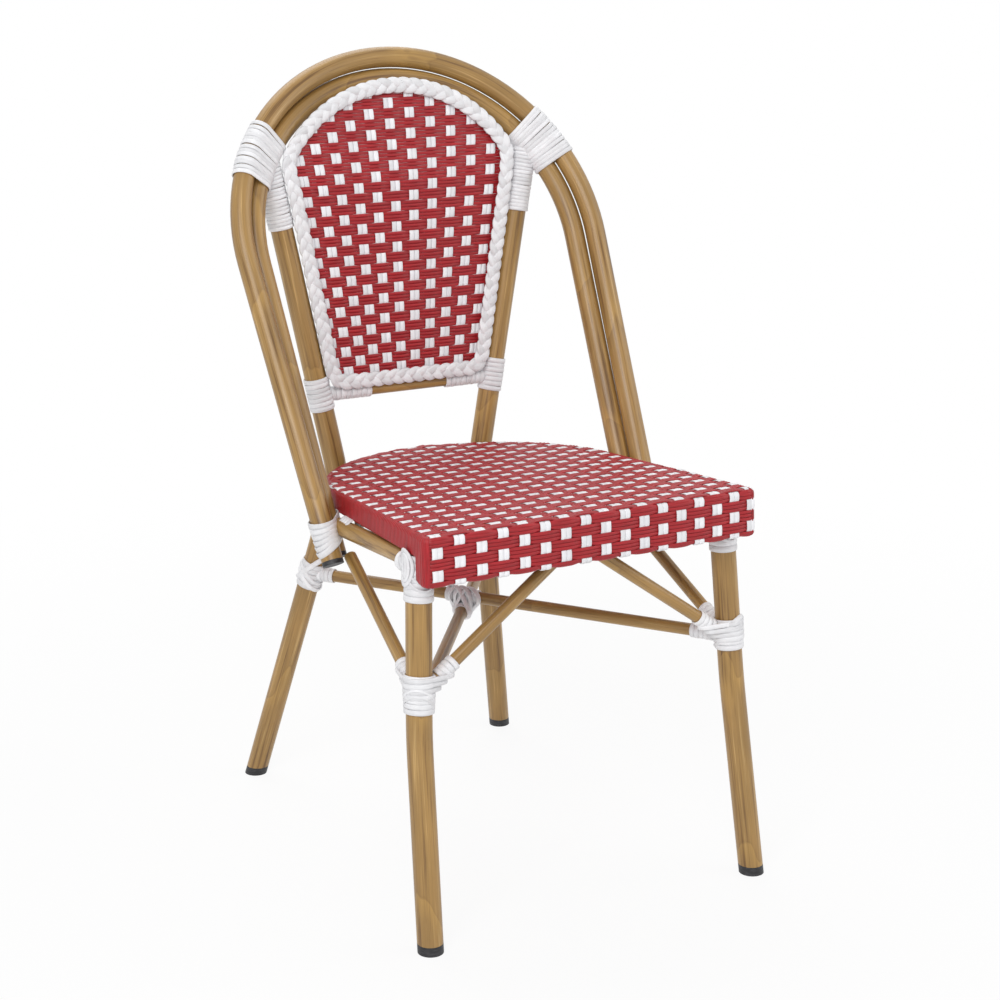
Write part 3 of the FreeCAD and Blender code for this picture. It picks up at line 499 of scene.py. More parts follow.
def plug_material():
    """Moulded black plastic with a fine grain and scuffs."""
    material, tree, shader = new_material("black_plug")
    place = object_place(tree)
    grain = noise(tree, place, (1400, 1400, 1400))
    scuff = noise(tree, place, (120, 120, 400), 3.0)
    colour = ramp(tree, scuff, (0.45, (0.012, 0.012, 0.014)), (0.75, (0.05, 0.05, 0.055)))
    rough = grey_ramp(tree, scuff, (0.3, 0.42), (0.7, 0.62))
    feed(tree, shader, colour, rough, bump(tree, grain, 0.0003, 0.4))
    return material


def metal_material(name, pale, shade, brushing):
    """Bare metal with fine drawn lines."""
    material, tree, shader = new_material(name)
    lines = noise(tree, object_place(tree), grey(brushing), 3.0)
    colour = grey_ramp(tree, lines, (0.3, shade), (0.7, pale))
    rough = grey_ramp(tree, lines, (0.3, 0.45), (0.7, 0.28))
    shader.inputs["Metallic"].default_value = 1.0
    feed(tree, shader, colour, rough, bump(tree, lines, 0.0002, 0.3))
    return material


def strand_material(name, tones, roughness):
    """Extruded plastic strand: faint lines along it, tone that changes from strand to strand."""
    material, tree, shader = new_material(name)
    along = add(tree, "UVMap", uv_map="strand").outputs[0]
    tone = add(tree, "Attribute", attribute_name="tone").outputs["Fac"]
    lines = noise(tree, along, (9.0, 5.0, 1.0), 3.0)
    drift = noise(tree, along, (0.7, 14.0, 1.0))
    colour = ramp(tree, lines, *zip((0.25, 0.5, 0.78), tones))
    colour = tinted(tree, "MULTIPLY", 0.6, colour, grey_ramp(tree, tone, (0.0, 0.82), (1.0, 1.1)))
    colour = tinted(tree, "MULTIPLY", 0.4, colour, grey_ramp(tree, drift, (0.3, 0.86), (0.7, 1.06)))
    rough = grey_ramp(tree, lines, (0.2, roughness - 0.06), (0.8, roughness + 0.08))
    feed(tree, shader, colour, rough, bump(tree, lines, 0.0004, 0.35))
    return material


# Strand meshes

PROFILE = [
    (-0.50, -0.15), (-0.40, 0.33), (0.0, 0.50), (0.40, 0.33), (0.50, -0.15), (0.34, -0.50), (-0.34, -0.50),
]


def new_object(name, data):
    """A scene object that shows the data."""
    made = bpy.data.objects.new(name, data)
    bpy.context.scene.collection.objects.link(made)
    return made


class Strands:
    """Flat strands gathered into one mesh, with a coordinate along each strand."""

    def __init__(self):
        self.points, self.faces, self.across, self.along, self.tones = [], [], [], [], []

    def add(self, points, normals, width, thickness, closed=False):
        """One strand along a line of points, its outer face turned to the normals."""
        ahead = np.roll(points, -1, 0) - np.roll(points, 1, 0)
        if not closed:
            ahead[0] = points[1] - points[0]
            ahead[-1] = points[-1] - points[-2]
        across = unit(np.cross(ahead, normals))
        out = unit(np.cross(across, ahead))
        rows = [points + across * (a * width) + out * (b * thickness) for a, b in PROFILE]
        first, ring, count = len(self.points), len(PROFILE), len(points)
        self.points.extend(np.stack(rows, 1).reshape(-1, 3))
        steps = np.linalg.norm(np.diff(points, axis=0), axis=1)
        length = np.concatenate([[0.0], np.cumsum(steps)]) * 10 + random.uniform(0, 50)
        self.along.extend(np.repeat(length, ring))
        self.across.extend(np.tile(np.linspace(0, 1, ring), count))
        self.tones.extend([random.random()] * (ring * count))
        for i in range(count if closed else count - 1):
            here, there = first + i * ring, first + (i + 1) % count * ring
            for j in range(ring):
                k = (j + 1) % ring
                self.faces.append((here + j, here + k, there + k, there + j))
        if not closed:
            last = first + (count - 1) * ring
            self.faces.append(tuple(range(first, first + ring)))
            self.faces.append(tuple(range(last + ring - 1, last - 1, -1)))

    def piece(self, name, material, slot, node):
        """The strands as one piece that stands for a CAD node."""
        mesh = bpy.data.meshes.new(name)
        mesh.from_pydata(self.points, [], self.faces)
        mesh.attributes.new("tone", "FLOAT", "POINT").data.foreach_set("value", self.tones)
        corner = np.zeros(len(mesh.loops), int)
        mesh.loops.foreach_get("vertex_index", corner)
        uv = np.stack([np.array(self.across)[corner], np.array(self.along)[corner]], 1)
        mesh.uv_layers.new(name="strand").data.foreach_set("uv", uv.ravel())
        work = bmesh.new()
        work.from_mesh(mesh)
        bmesh.ops.recalc_face_normals(work, faces=work.faces)
        work.to_mesh(mesh)
        work.free()
        mesh.shade_smooth()
        mesh.materials.append(material)
        made = new_object(name, mesh)
        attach(made, "root")
        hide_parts(node)


# Lashings: strands pulled tight round the tubes they bind

FULL_TURN = np.linspace(0, 2 * math.pi, 28, endpoint=False)


def hull(flat):
    """Order of the points round the outside of a flat cloud."""
    order = sorted(range(len(flat)), key=lambda i: tuple(flat[i]))

    def chain(indices):
        kept = []
        for i in indices:
            while len(kept) > 1:
                a, b = flat[kept[-2]], flat[kept[-1]]
                if (b[0] - a[0]) * (flat[i][1] - a[1]) > (b[1] - a[1]) * (flat[i][0] - a[0]):
                    break
                kept.pop()
            kept.append(i)
        return kept[:-1]

    return chain(order) + chain(order[::-1])


def square_to(direction):
    return np.array(Vector(direction).orthogonal().normalized())


def loop(strands, tubes, point, normal, width, layer=0.0):
    """One closed turn round several tubes, in the plane through a point, some layers off the tubes."""
    normal = unit(normal)
    side = square_to(normal)
    other = np.cross(normal, side)
    lift = LASHING_STRAND * (0.5 + layer)
    cloud = []
    for tube in tubes:
        lean = tube.direction @ normal
        centre = tube.point + tube.direction * (((point - tube.point) @ normal) / lean)
        first = square_to(tube.direction)
        second = np.cross(tube.direction, first)
        for angle in FULL_TURN:
            out = (first * math.cos(angle) + second * math.sin(angle)) * (tube.radius + lift)
            cloud.append(centre + out - tube.direction * ((out @ normal) / lean))
    cloud = np.array(cloud)
    flat = np.stack([cloud @ side, cloud @ other], 1)
    path = cloud[hull(flat)]
    ahead = np.roll(path, -1, 0) - np.roll(path, 1, 0)
    strands.add(path, np.cross(ahead, normal), width, LASHING_STRAND, closed=True)


def tipped(direction, axis, degrees):
    """A direction turned about an axis."""
    return np.array(Matrix.Rotation(math.radians(degrees), 3, Vector(axis)) @ Vector(direction))


def turns(strands, tube, start, end, width, tilt=0.0, axis=None, layer=0.0):
    """Turns side by side from start to end round a tube."""
    length = np.linalg.norm(end - start)
    run = (end - start) / length
    count = max(1, round(length / width))
    axis = np.array(Vector(run).orthogonal()) if axis is None else axis
    for i in range(count):
        place = start + run * (length * (i + 0.5) / count)
        normal = tipped(run, axis, tilt + random.uniform(-TURN_WANDER_DEG, TURN_WANDER_DEG))
        loop(strands, [tube], place, normal, length / count * TURN_OVERLAP, layer + random.uniform(0, 0.25))


def sleeve_turns(strands, node, tube, axis, trim, width, **more):
    """Turns round a tube between the ends of a lashing's CAD sleeve, each end moved by its trim."""
    levels = [np.array(corner) @ axis + step for corner, step in zip(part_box(node), trim)]
    start, end = (tube.at(axis, level) for level in levels)
    turns(strands, tube, start, end, width, **more)


def strut_end(strut, leg):
    """Where a strut meets a leg, the way it leaves, and how far along it the leg's outside lies."""
    joint = strut.nearest(leg)
    away = strut.direction * np.sign(strut.direction @ (strut.point - joint))
    return joint, away, leg.radius / np.linalg.norm(np.cross(away, leg.direction))


def strut_turns(strands, strut, leg, span, width):
    """Turns round a strut, over a span measured from the leg's outside."""
    joint, away, clear = strut_end(strut, leg)
    start, end = (joint + away * (clear + step) for step in span)
    turns(strands, strut, start, end, width)


def collars(strands, leg, strut, way, steps, width, layer):
    """Slanting turns across the corner between a leg and a strut, above it or below it."""
    joint, away, _ = strut_end(strut, leg)
    normal = unit(leg.direction * way + away)
    for step in steps:
        loop(strands, [leg, strut], joint + normal * step, normal, width, layer)
        layer = layer + 0.2


def leg_span(node, tube):
    """First and last point of a lashing's sleeve along the tube it is wound on."""
    points = mesh_arrays(node)[0] - tube.point
    length = points @ tube.direction
    away = np.linalg.norm(points - np.outer(length, tube.direction), axis=1)
    length = length[away < tube.radius + 0.0028]
    levels = length.min() + SLEEVE_END, length.max() - SLEEVE_END
    ends = [tube.point + tube.direction * level for level in levels]
    return sorted(ends, key=lambda point: point[2])


def coil(strands, leg, point, out):
    """Nested ovals of strand laid on the outside of a leg."""
    across = np.cross(leg.direction, out)
    reach = leg.radius + LASHING_STRAND * COIL_LAYER
    for step in range(COIL_TURNS):
        half_width = COIL_WIDTH * (COIL_START + step)
        sideways = half_width * np.cos(FULL_TURN)
        depth = np.sqrt(np.maximum(reach ** 2 - sideways ** 2, 0))
        normals = unit(np.outer(depth, out) + np.outer(sideways, across))
        rise = np.outer((COIL_CORE + half_width) * np.sin(FULL_TURN), leg.direction)
        points = point + normals * reach + rise
        strands.add(points, normals, COIL_WIDTH * TURN_OVERLAP, LASHING_STRAND, closed=True)


def shoulder_lashing(strands, side, node):
    """Fine turns square to both hoops."""
    front = HOOPS["front"]
    angles = front.angle_of(mesh_arrays(node)[0])
    low, high = angles.min(), angles.max()
    width = math.radians(high - low) * front.radius / SHOULDER_TURNS
    for i in range(SHOULDER_TURNS):
        degrees = low + (high - low) * (i + 0.5) / SHOULDER_TURNS + random.uniform(-0.2, 0.2)
        pair = [hoop.arch_tube(side, degrees) for hoop in HOOPS.values()]
        normal = tipped(pair[0].direction, pair[0].point - front.centre, random.uniform(-1.5, 1.5))
        loop(strands, pair, pair[0].point, normal, width * 1.05, random.uniform(0.3, 0.6))


def upright_lashing(strands, side, node):
    """Turns round the upright that run on up behind the panel."""
    sleeve_turns(strands, node, TUBES[side]["upright"], Z_AXIS, UPRIGHT_TRIM, UPRIGHT_WIDTH, layer=0.2)


def panel_lashing(strands, side, node):
    sleeve_turns(strands, node, TUBES[side]["upright"], Z_AXIS, PANEL_TRIM, PANEL_WIDTH)


def cross_rail_lashing(strands, side, node):
    sleeve_turns(strands, node, CROSS_RAIL, X_AXIS, NO_TRIM, CROSS_RAIL_WIDTH)


def hoop_foot_lashing(strands, side, node):
    """A fan of turns round both hoops that meet at the inner front, and turns round the side rail."""
    hoops = [hoop.legs[side] for hoop in HOOPS.values()]
    centre = (hoops[0].at(Z_AXIS, HOOP_FAN_Z) + hoops[1].at(Z_AXIS, HOOP_FAN_Z)) / 2
    inner_front = unit(np.array([-side * HOOP_FAN_INWARD, -HOOP_FAN_FORWARD, 0.0]))
    pivot = centre + inner_front * HOOP_FAN_REACH
    axis = np.cross(inner_front, Z_AXIS)
    for i in range(HOOP_FAN_TURNS):
        share = i / (HOOP_FAN_TURNS - 1)
        normal = tipped(Z_AXIS, axis, HOOP_FAN_FROM_DEG + HOOP_FAN_SPREAD_DEG * share)
        point = pivot + Z_AXIS * (HOOP_FAN_RISE * (0.5 - share))
        loop(strands, hoops, point, normal, HOOP_FAN_WIDTH, 0.9 - 0.6 * share)
    rail = TUBES[side]["seat_side_rail"]
    start, end = (rail.at(Y_AXIS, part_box(node)[0].y + step) for step in HOOP_RAIL_SPAN)
    turns(strands, rail, start, end, HOOP_RAIL_WIDTH, HOOP_RAIL_TILT_DEG, Z_AXIS)


def leg_top_lashing(strands, side, node):
    """Turns round the leg under the seat and round the rails, with a coil on the outside."""
    leg, rail = TUBES[side]["front_leg"], TUBES[side]["seat_side_rail"]
    sleeve_turns(strands, node, leg, Z_AXIS, LEG_TOP_TRIM, LEG_TOP_WIDTH, tilt=LEG_TOP_TILT_DEG)
    strut_turns(strands, rail, leg, LEG_TOP_RAIL_SPAN, LEG_TOP_RAIL_WIDTH)
    collars(strands, leg, rail, -1, COLLAR_STEPS, LEG_TOP_COLLAR_WIDTH, 0.4)
    joint = rail.nearest(leg)
    coil(strands, leg, leg.at(Z_AXIS, joint[2]), side * X_AXIS)
    inward = FRONT_RAIL.direction * -side * np.sign(FRONT_RAIL.direction[0])
    start, end = (FRONT_RAIL.at(X_AXIS, joint[0]) + inward * step for step in FRONT_RAIL_SPAN)
    turns(strands, FRONT_RAIL, start, end, FRONT_RAIL_WIDTH)


def brace_lashing(strands, side, node):
    """Turns round the front leg that widen at the struts, and turns round each strut's end."""
    tubes = TUBES[side]
    leg, stretcher = tubes["front_leg"], tubes["front_stretcher"]
    turns(strands, leg, *leg_span(node, leg), BRACE_WIDTH, BRACE_TILT_DEG, Y_AXIS, 0.3)
    for brace in (tubes["side_brace"], tubes["front_brace"]):
        joint, away, _ = strut_end(brace, leg)
        for step in BRACE_STEPS:
            normal = tipped(leg.direction, away, random.uniform(-3, 3))
            point = joint + leg.direction * step
            loop(strands, [leg, brace], point, normal, BRACE_WIDTH, random.uniform(0.9, 1.3))
        strut_turns(strands, brace, leg, BRACE_END_SPAN, BRACE_WIDTH)
    strut_turns(strands, stretcher, leg, FRONT_STRETCHER_SPAN, FRONT_STRETCHER_WIDTH)
    collars(strands, leg, stretcher, 1, COLLAR_STEPS, BRACE_WIDTH, 0.6)


def rear_leg_lashing(strands, side, node):
    """Turns round the rear leg, two that cross over them, a collar, and fine turns round the stretcher."""
    leg, strut = TUBES[side]["rear_leg"], TUBES[side]["rear_stretcher"]
    joint, away, _ = strut_end(strut, leg)
    axis = np.cross(leg.direction, away)
    turns(strands, leg, *leg_span(node, leg), REAR_LEG_WIDTH, REAR_LEG_TILT_DEG, axis)
    for way in (1, -1):
        normal = unit(leg.direction * way + away)
        loop(strands, [leg], joint - normal * REAR_SLANT_SETBACK, normal, REAR_SLANT_WIDTH, 0.8)
    collars(strands, leg, strut, 1, COLLAR_STEPS[:1], REAR_SLANT_WIDTH, 0.6)
    strut_turns(strands, strut, leg, REAR_STRETCHER_SPAN, REAR_STRETCHER_WIDTH)


def seat_back_lashing(strands, side, node):
    """Turns round the rear leg and the end of the rail under the back of the seat."""
    sleeve_turns(strands, node, TUBES[side]["rear_leg"], Z_AXIS, SEAT_BACK_TRIM, SEAT_BACK_WIDTH)
    sleeve_turns(strands, node, BACK_RAIL, X_AXIS, NO_TRIM, SEAT_BACK_WIDTH)


def crossing_lashing(strands):
    """Turns both ways round the two crossed stretchers, and turns along each."""
    upper, lower = STRETCHERS
    crossing = (upper.nearest(lower) + lower.nearest(upper)) / 2
    ahead = unit(sum(tube.direction * np.sign(tube.direction[1]) for tube in STRETCHERS))
    for normal in (ahead, np.cross(ahead, Z_AXIS)):
        layer = 1.0 + 0.5 * abs(normal[0])
        for i in (-1, 0, 1):
            loop(strands, STRETCHERS, crossing + normal * (CROSSING_STEP * i), normal, CROSSING_WIDTH, layer)
    for tube, other in (STRETCHERS, STRETCHERS[::-1]):
        half = tube.direction * (CROSSING_LENGTH / 2)
        point = tube.nearest(other)
        turns(strands, tube, point - half, point + half, CROSSING_END_WIDTH)


LASHINGS = {
    "lashing_shoulder": shoulder_lashing,
    "lashing_upright": upright_lashing,
    "lashing_panel": panel_lashing,
    "lashing_cross_rail": cross_rail_lashing,
    "lashing_hoop_foot": hoop_foot_lashing,
    "lashing_front_leg_top": leg_top_lashing,
    "lashing_brace": brace_lashing,
    "lashing_rear_leg": rear_leg_lashing,
    "lashing_seat_back": seat_back_lashing,
}


# Back panel

def panel_loop():
    """Middle line of the panel's loop tube, anticlockwise from the right, seen from the front."""
    low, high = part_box("back_panel_frame")
    centre = np.array([0.0, 0.0, low.z + 0.55 * (high.z - low.z)])
    line = []
    for angle in np.linspace(0, 2 * math.pi, 180, endpoint=False):
        out = np.array([math.cos(angle), 0.0, math.sin(angle)])
        line.append(middle(cut("back_panel_frame", centre, np.cross(out, Y_AXIS), out)))
    return np.array(line)


PANEL_LOOP = panel_loop()


class BackSheet:
    """The middle surface of the back weave, and the loop that bounds it."""

    def __init__(self):
        low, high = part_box("back_weave")
        self.heights = np.linspace(low.z + 0.004, high.z - 0.004, 45)
        self.depths = np.array([middle(cut("back_weave", Z_AXIS * z, Z_AXIS))[1] for z in self.heights])
        self.bottom, self.top = PANEL_LOOP[:, 2].min(), PANEL_LOOP[:, 2].max()
        right = PANEL_LOOP[PANEL_LOOP[:, 0] > 0]
        side = right[right[:, 2] > self.bottom + 0.001]
        side = side[np.argsort(side[:, 2])]
        self.side_z, self.side_x = side[:, 2], side[:, 0]

    def half_width(self, z):
        return np.interp(z, self.side_z, self.side_x)

    def column(self, number, z):
        """Place across the back of a white column; the columns spread upwards and to the right."""
        pitch = BACK_PITCH + BACK_PITCH_RISE * (z - self.bottom)
        return BACK_SHIFT + number * pitch + BACK_SPREAD * number ** 2

    def column_number(self, x, z):
        """Number of the column at a place across the back, with parts of a step between columns."""
        numbers = np.arange(-BACK_COLUMNS - 2, BACK_COLUMNS + 3)
        return np.interp(x, self.column(numbers, z), numbers)

    def place(self, x, z, out):
        """Points and normals of the sheet, lifted to the front by a distance."""
        slope = np.interp(z, self.heights, np.gradient(self.depths, self.heights))
        depth = np.interp(z, self.heights, self.depths)
        depth = depth + slope * (z - np.clip(z, self.heights[0], self.heights[-1]))
        normal = unit(np.stack([np.zeros_like(z), -np.ones_like(z), slope], 1))
        return np.stack([x, depth, z], 1) + normal * out[:, None], normal


def weave_wave(turn):
    """Flattened wave: 1 at even places, -1 at odd ones."""
    return np.tanh(WEAVE_FLATNESS * np.cos(np.pi * turn)) / math.tanh(WEAVE_FLATNESS)


def back_weave(red, white):
    """Red bands woven over and under white pairs of strands."""
    sheet = BackSheet()
    reds, whites = Strands(), Strands()
    first = sheet.bottom + BACK_FIRST_ROW
    for row in range(-1, int((sheet.top - first) / BACK_ROW) + 1):
        for part in range(STRANDS_PER_BAND):
            z = first + BACK_ROW * row + BACK_STRAND * (part - 1)
            if not sheet.bottom < z < sheet.top - BACK_TOP_GAP:
                continue
            reach = sheet.half_width(z)
            x = np.linspace(-reach, reach, max(8, int(2 * reach / BACK_STEP)))
            swing = -WEAVE_SWING * weave_wave(sheet.column_number(x, z) + row)
            reds.add(*sheet.place(x, np.full_like(x, z), swing), BACK_STRAND, WEAVE_THICKNESS)
    for column in range(-BACK_COLUMNS, BACK_COLUMNS + 1):
        for part in (-0.5, 0.5):
            z = np.arange(sheet.bottom, sheet.top, BACK_ROW / STEPS_PER_ROW)
            x = sheet.column(column, z) + part * BACK_WHITE_WIDTH
            inside = np.abs(x) < sheet.half_width(z)
            z, x = z[inside], x[inside]
            swing = WEAVE_SWING * weave_wave(column + (z - first) / BACK_ROW)
            whites.add(*sheet.place(x, z, swing), BACK_WHITE_WIDTH, WEAVE_THICKNESS)
    reds.piece("back_weave_red", red, "check_weave", "back_weave")
    whites.piece("back_weave_white", white, "check_weave", "back_weave")


def even_steps(line, step):
    """A closed line divided into equal steps of about the given length, and its length."""
    closed = np.vstack([line, line[:1]])
    length = np.concatenate([[0.0], np.cumsum(np.linalg.norm(np.diff(closed, axis=0), axis=1))])
    count = round(length[-1] / step)
    places = np.linspace(0, length[-1], count, endpoint=False)
    return np.stack([np.interp(places, length, closed[:, i]) for i in range(3)], 1), length[-1]


def loop_frame(line):
    """Inward and front directions along the panel's loop."""
    ahead = unit(np.roll(line, -1, 0) - np.roll(line, 1, 0))
    inward = unit(np.cross(-np.tile(Y_AXIS, (len(line), 1)), ahead))
    return inward, unit(np.cross(ahead, inward))


def plait(strands):
    """Three-strand plait on the front of the loop tube."""
    line, length = even_steps(PANEL_LOOP, PLAIT_STEP)
    inward, front = loop_frame(line)
    tilt = math.radians(PLAIT_TURN_IN_DEG)
    face = front * math.cos(tilt) + inward * math.sin(tilt)
    across = inward * math.cos(tilt) - front * math.sin(tilt)
    cycles = round(length / PLAIT_CYCLE)
    phase = np.linspace(0, 2 * math.pi * cycles, len(line), endpoint=False)
    for k in range(PLAIT_STRANDS):
        turn = phase + 2 * math.pi * k / PLAIT_STRANDS
        points = line + face * (PLAIT_PROUD + PLAIT_LIFT * np.sin(2 * turn))[:, None]
        points = points + across * (PLAIT_SWING * np.sin(turn))[:, None] + X_AXIS * PLAIT_SIDEWAYS
        strands.add(points, face, PLAIT_STRAND_WIDTH, PLAIT_STRAND_THICKNESS, closed=True)


def tube_wrap(strands):
    """One strand wound all round the loop tube."""
    radius = (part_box("back_panel_frame")[1].z - PANEL_LOOP[:, 2].max()) + WEAVE_THICKNESS / 2
    line, length = even_steps(PANEL_LOOP, TUBE_WRAP_WIDTH / TUBE_WRAP_STEPS)
    inward, front = loop_frame(line)
    count = round(length / TUBE_WRAP_WIDTH)
    phase = np.linspace(0, 2 * math.pi * count, len(line), endpoint=False)[:, None]
    out = inward * np.cos(phase) + front * np.sin(phase)
    strands.add(line + out * radius, out, TUBE_WRAP_WIDTH, WEAVE_THICKNESS, closed=True)


def back_braid(white):
    strands = Strands()
    plait(strands)
    tube_wrap(strands)
    strands.piece("back_braid_plait", white, "white_braid", "back_braid")


# Seat

class Seat:
    """The outside of the woven seat, read from its CAD solid, in the tilted plane of its top."""

    def __init__(self):
        near, far = -0.15, 0.05
        tops = [cut("seat_weave", Y_AXIS * y, Y_AXIS)[:, 2].max() for y in (near, far)]
        tilt = math.atan2(tops[0] - tops[1], far - near)
        self.back = np.array([0.0, math.cos(tilt), -math.sin(tilt)])
        self.up = np.array([0.0, math.sin(tilt), math.cos(tilt)])
        points = mesh_arrays("seat_weave")[0]
        behind, above = points @ self.back, points @ self.up
        self.origin = self.back * behind.min() + self.up * above.max()
        self.depth = self.extent(0.2)[1]
        self.apron = above.max() - above.min()
        self.length = behind.max() - behind.min()
        self.sides = np.append(np.arange(0.002, self.length - 0.002, 0.004), self.length - 0.0004)
        self.widths = np.array([self.extent(v)[0] for v in self.sides])
        self.front_width = self.extent(SEAT_CORNER_RADIUS + 0.001)[0]

    def extent(self, v):
        """Half width and depth of the seat at a distance behind its front."""
        points = cut("seat_weave", self.origin + self.back * v, self.back)
        heights = points @ self.up
        return points[:, 0].max(), (self.origin @ self.up) - heights.min()

    def half_width(self, v):
        return np.interp(v, self.sides, self.widths)

    def back_edge(self, x):
        """Distance behind the front at which the rounded back passes a place across the seat."""
        rear = self.sides > self.length / 2
        return np.interp(-abs(x), -self.widths[rear], self.sides[rear])

    def place(self, x, v, depth):
        return self.origin + np.outer(x, X_AXIS) + np.outer(v, self.back) - np.outer(depth, self.up)

    def column(self, number, v):
        """Place across the seat of a white column."""
        last = (SEAT_COLUMNS - 1) / 2
        share = (number - last) / last
        pitch = SEAT_PITCH - SEAT_PITCH_LOSS * v
        return SEAT_MIDDLE + SEAT_DRIFT * v + share * last * pitch + SEAT_BOW * (1 - share ** 2)

    def column_number(self, x, v):
        """Number of the column at a place across the seat, with parts of a step between columns."""
        numbers = np.arange(-2, SEAT_COLUMNS + 2)
        return np.interp(x, self.column(numbers, v), numbers)

    def corner_setback(self, x):
        """How far the rounded front corners fall back from the front."""
        past = np.clip(np.abs(x) - (self.front_width - SEAT_CORNER_RADIUS), 0, SEAT_CORNER_RADIUS)
        return SEAT_CORNER_RADIUS - np.sqrt(SEAT_CORNER_RADIUS ** 2 - past ** 2)


def edge_stretch(edge, place):
    """How much longer the way over a slanting edge is than over a square one."""
    slope = (edge(place + EDGE_STEP) - edge(place - EDGE_STEP)) / (2 * EDGE_STEP)
    return math.hypot(1.0, slope)


def front_profile(seat, s):
    """Distance back, depth, and the outward normal along the front, from under the apron up over the edge."""
    top = SEAT_TOP_ROUND * math.pi / 4
    low = -top - (seat.apron - SEAT_TOP_ROUND - SEAT_UNDER_ROUND)
    under = low - SEAT_UNDER_ROUND * math.pi / 2
    if s > top:
        return SEAT_TOP_ROUND + s - top, 0.0, 0.0, 1.0
    if s > -top:
        angle = (s + top) / SEAT_TOP_ROUND
        c, d = math.cos(angle), math.sin(angle)
        return SEAT_TOP_ROUND * (1 - c), SEAT_TOP_ROUND * (1 - d), -c, d
    if s > low:
        return 0.0, SEAT_TOP_ROUND - top - s, -1.0, 0.0
    if s > under:
        angle = (low - s) / SEAT_UNDER_ROUND
        c, d = math.cos(angle), math.sin(angle)
        return SEAT_UNDER_ROUND * (1 - c), seat.apron - SEAT_UNDER_ROUND * (1 - d), -c, -d
    return SEAT_UNDER_ROUND + under - s, seat.apron, 0.0, -1.0


def edge_turn(drop, stretch):
    """Over an edge and under it: distance inside the edge, depth, and the outward and upward normal."""
    path = []
    top, under = SEAT_TOP_ROUND * stretch, SEAT_UNDER_ROUND * stretch
    for angle in np.linspace(0, math.pi / 2, 7):
        c, d = math.cos(angle), math.sin(angle)
        path.append((top * (1 - d), SEAT_TOP_ROUND * (1 - c), d, c))
    for angle in np.linspace(0, math.pi / 2, 5):
        c, d = math.cos(angle), math.sin(angle)
        path.append((under * (1 - c), drop - SEAT_UNDER_ROUND * (1 - d), c, -d))
    path.append((SEAT_TUCK, drop, 0.0, -1.0))
    return np.array(path)


def seat_weft(seat, strands, row, v):
    """One red strand from under the left edge, across the top, to under the right edge."""
    reach, drop = seat.extent(v)
    stretch = min(edge_stretch(seat.half_width, v), reach / (2 * SEAT_TOP_ROUND))
    inside, depth, out, up = edge_turn(drop, stretch).T
    flat = reach - inside[0]
    x = np.linspace(-flat, flat, max(4, int(2 * flat / SEAT_STEP)))
    number = seat.column_number(x, v)
    woven = np.clip(np.minimum(number + 0.9, SEAT_COLUMNS - 0.1 - number), 0, 1)
    swing = -WEAVE_SWING * weave_wave(number + row) * woven
    right_end = np.stack([reach - inside, depth, out, up], 1)[1:]
    left_end = right_end[::-1] * (-1, 1, -1, 1)
    top = np.stack([x, -swing, np.zeros_like(x), np.ones_like(x)], 1)
    across = np.vstack([left_end, top, right_end])
    normals = np.outer(across[:, 2], X_AXIS) + np.outer(across[:, 3], seat.up)
    points = seat.place(across[:, 0], np.full(len(across), v), across[:, 1]) - normals * SEAT_INSET
    strands.add(points, normals, SEAT_STRAND, WEAVE_THICKNESS)


def apron_end(seat, side, straight, profile):
    """The end of a red strand of the front, turned in round one corner."""
    v, depth, out, up = profile
    radius = SEAT_CORNER_RADIUS - min(v, SEAT_CORNER_RADIUS - 0.001)
    angles = np.radians(np.arange(12, 61, 12))
    plan = np.outer(np.sin(angles), side * X_AXIS) - np.outer(np.cos(angles), seat.back)
    normals = np.tile(seat.up * up, (len(angles), 1))
    if abs(out) > 0.01:
        normals = unit(plan * -out + seat.up * up)
    centre = seat.place([side * straight], [v + radius], [depth])
    sink = SEAT_INSET + np.linspace(0, APRON_END_SINK, len(angles))
    return centre + plan * radius - normals * sink[:, None], normals


def apron_weft(seat, strands, row, s):
    """One red strand across the front, its ends turned in round the corners."""
    profile = front_profile(seat, s)
    v, depth, out, up = profile
    straight = seat.front_width - SEAT_CORNER_RADIUS
    x = np.linspace(-straight, straight, int(2 * straight / SEAT_STEP))
    swing = -WEAVE_SWING * weave_wave(seat.column_number(x, 0.0) + row)
    normals = np.tile(seat.back * out + seat.up * up, (len(x), 1))
    points = seat.place(x, np.full_like(x, v), np.full_like(x, depth))
    points = points + normals * (swing - SEAT_INSET)[:, None]
    left, right = (apron_end(seat, side, straight, profile) for side in (LEFT, RIGHT))
    points = np.vstack([left[0][::-1], points, right[0]])
    normals = np.vstack([left[1][::-1], normals, right[1]])
    strands.add(points, normals, SEAT_STRAND, WEAVE_THICKNESS)


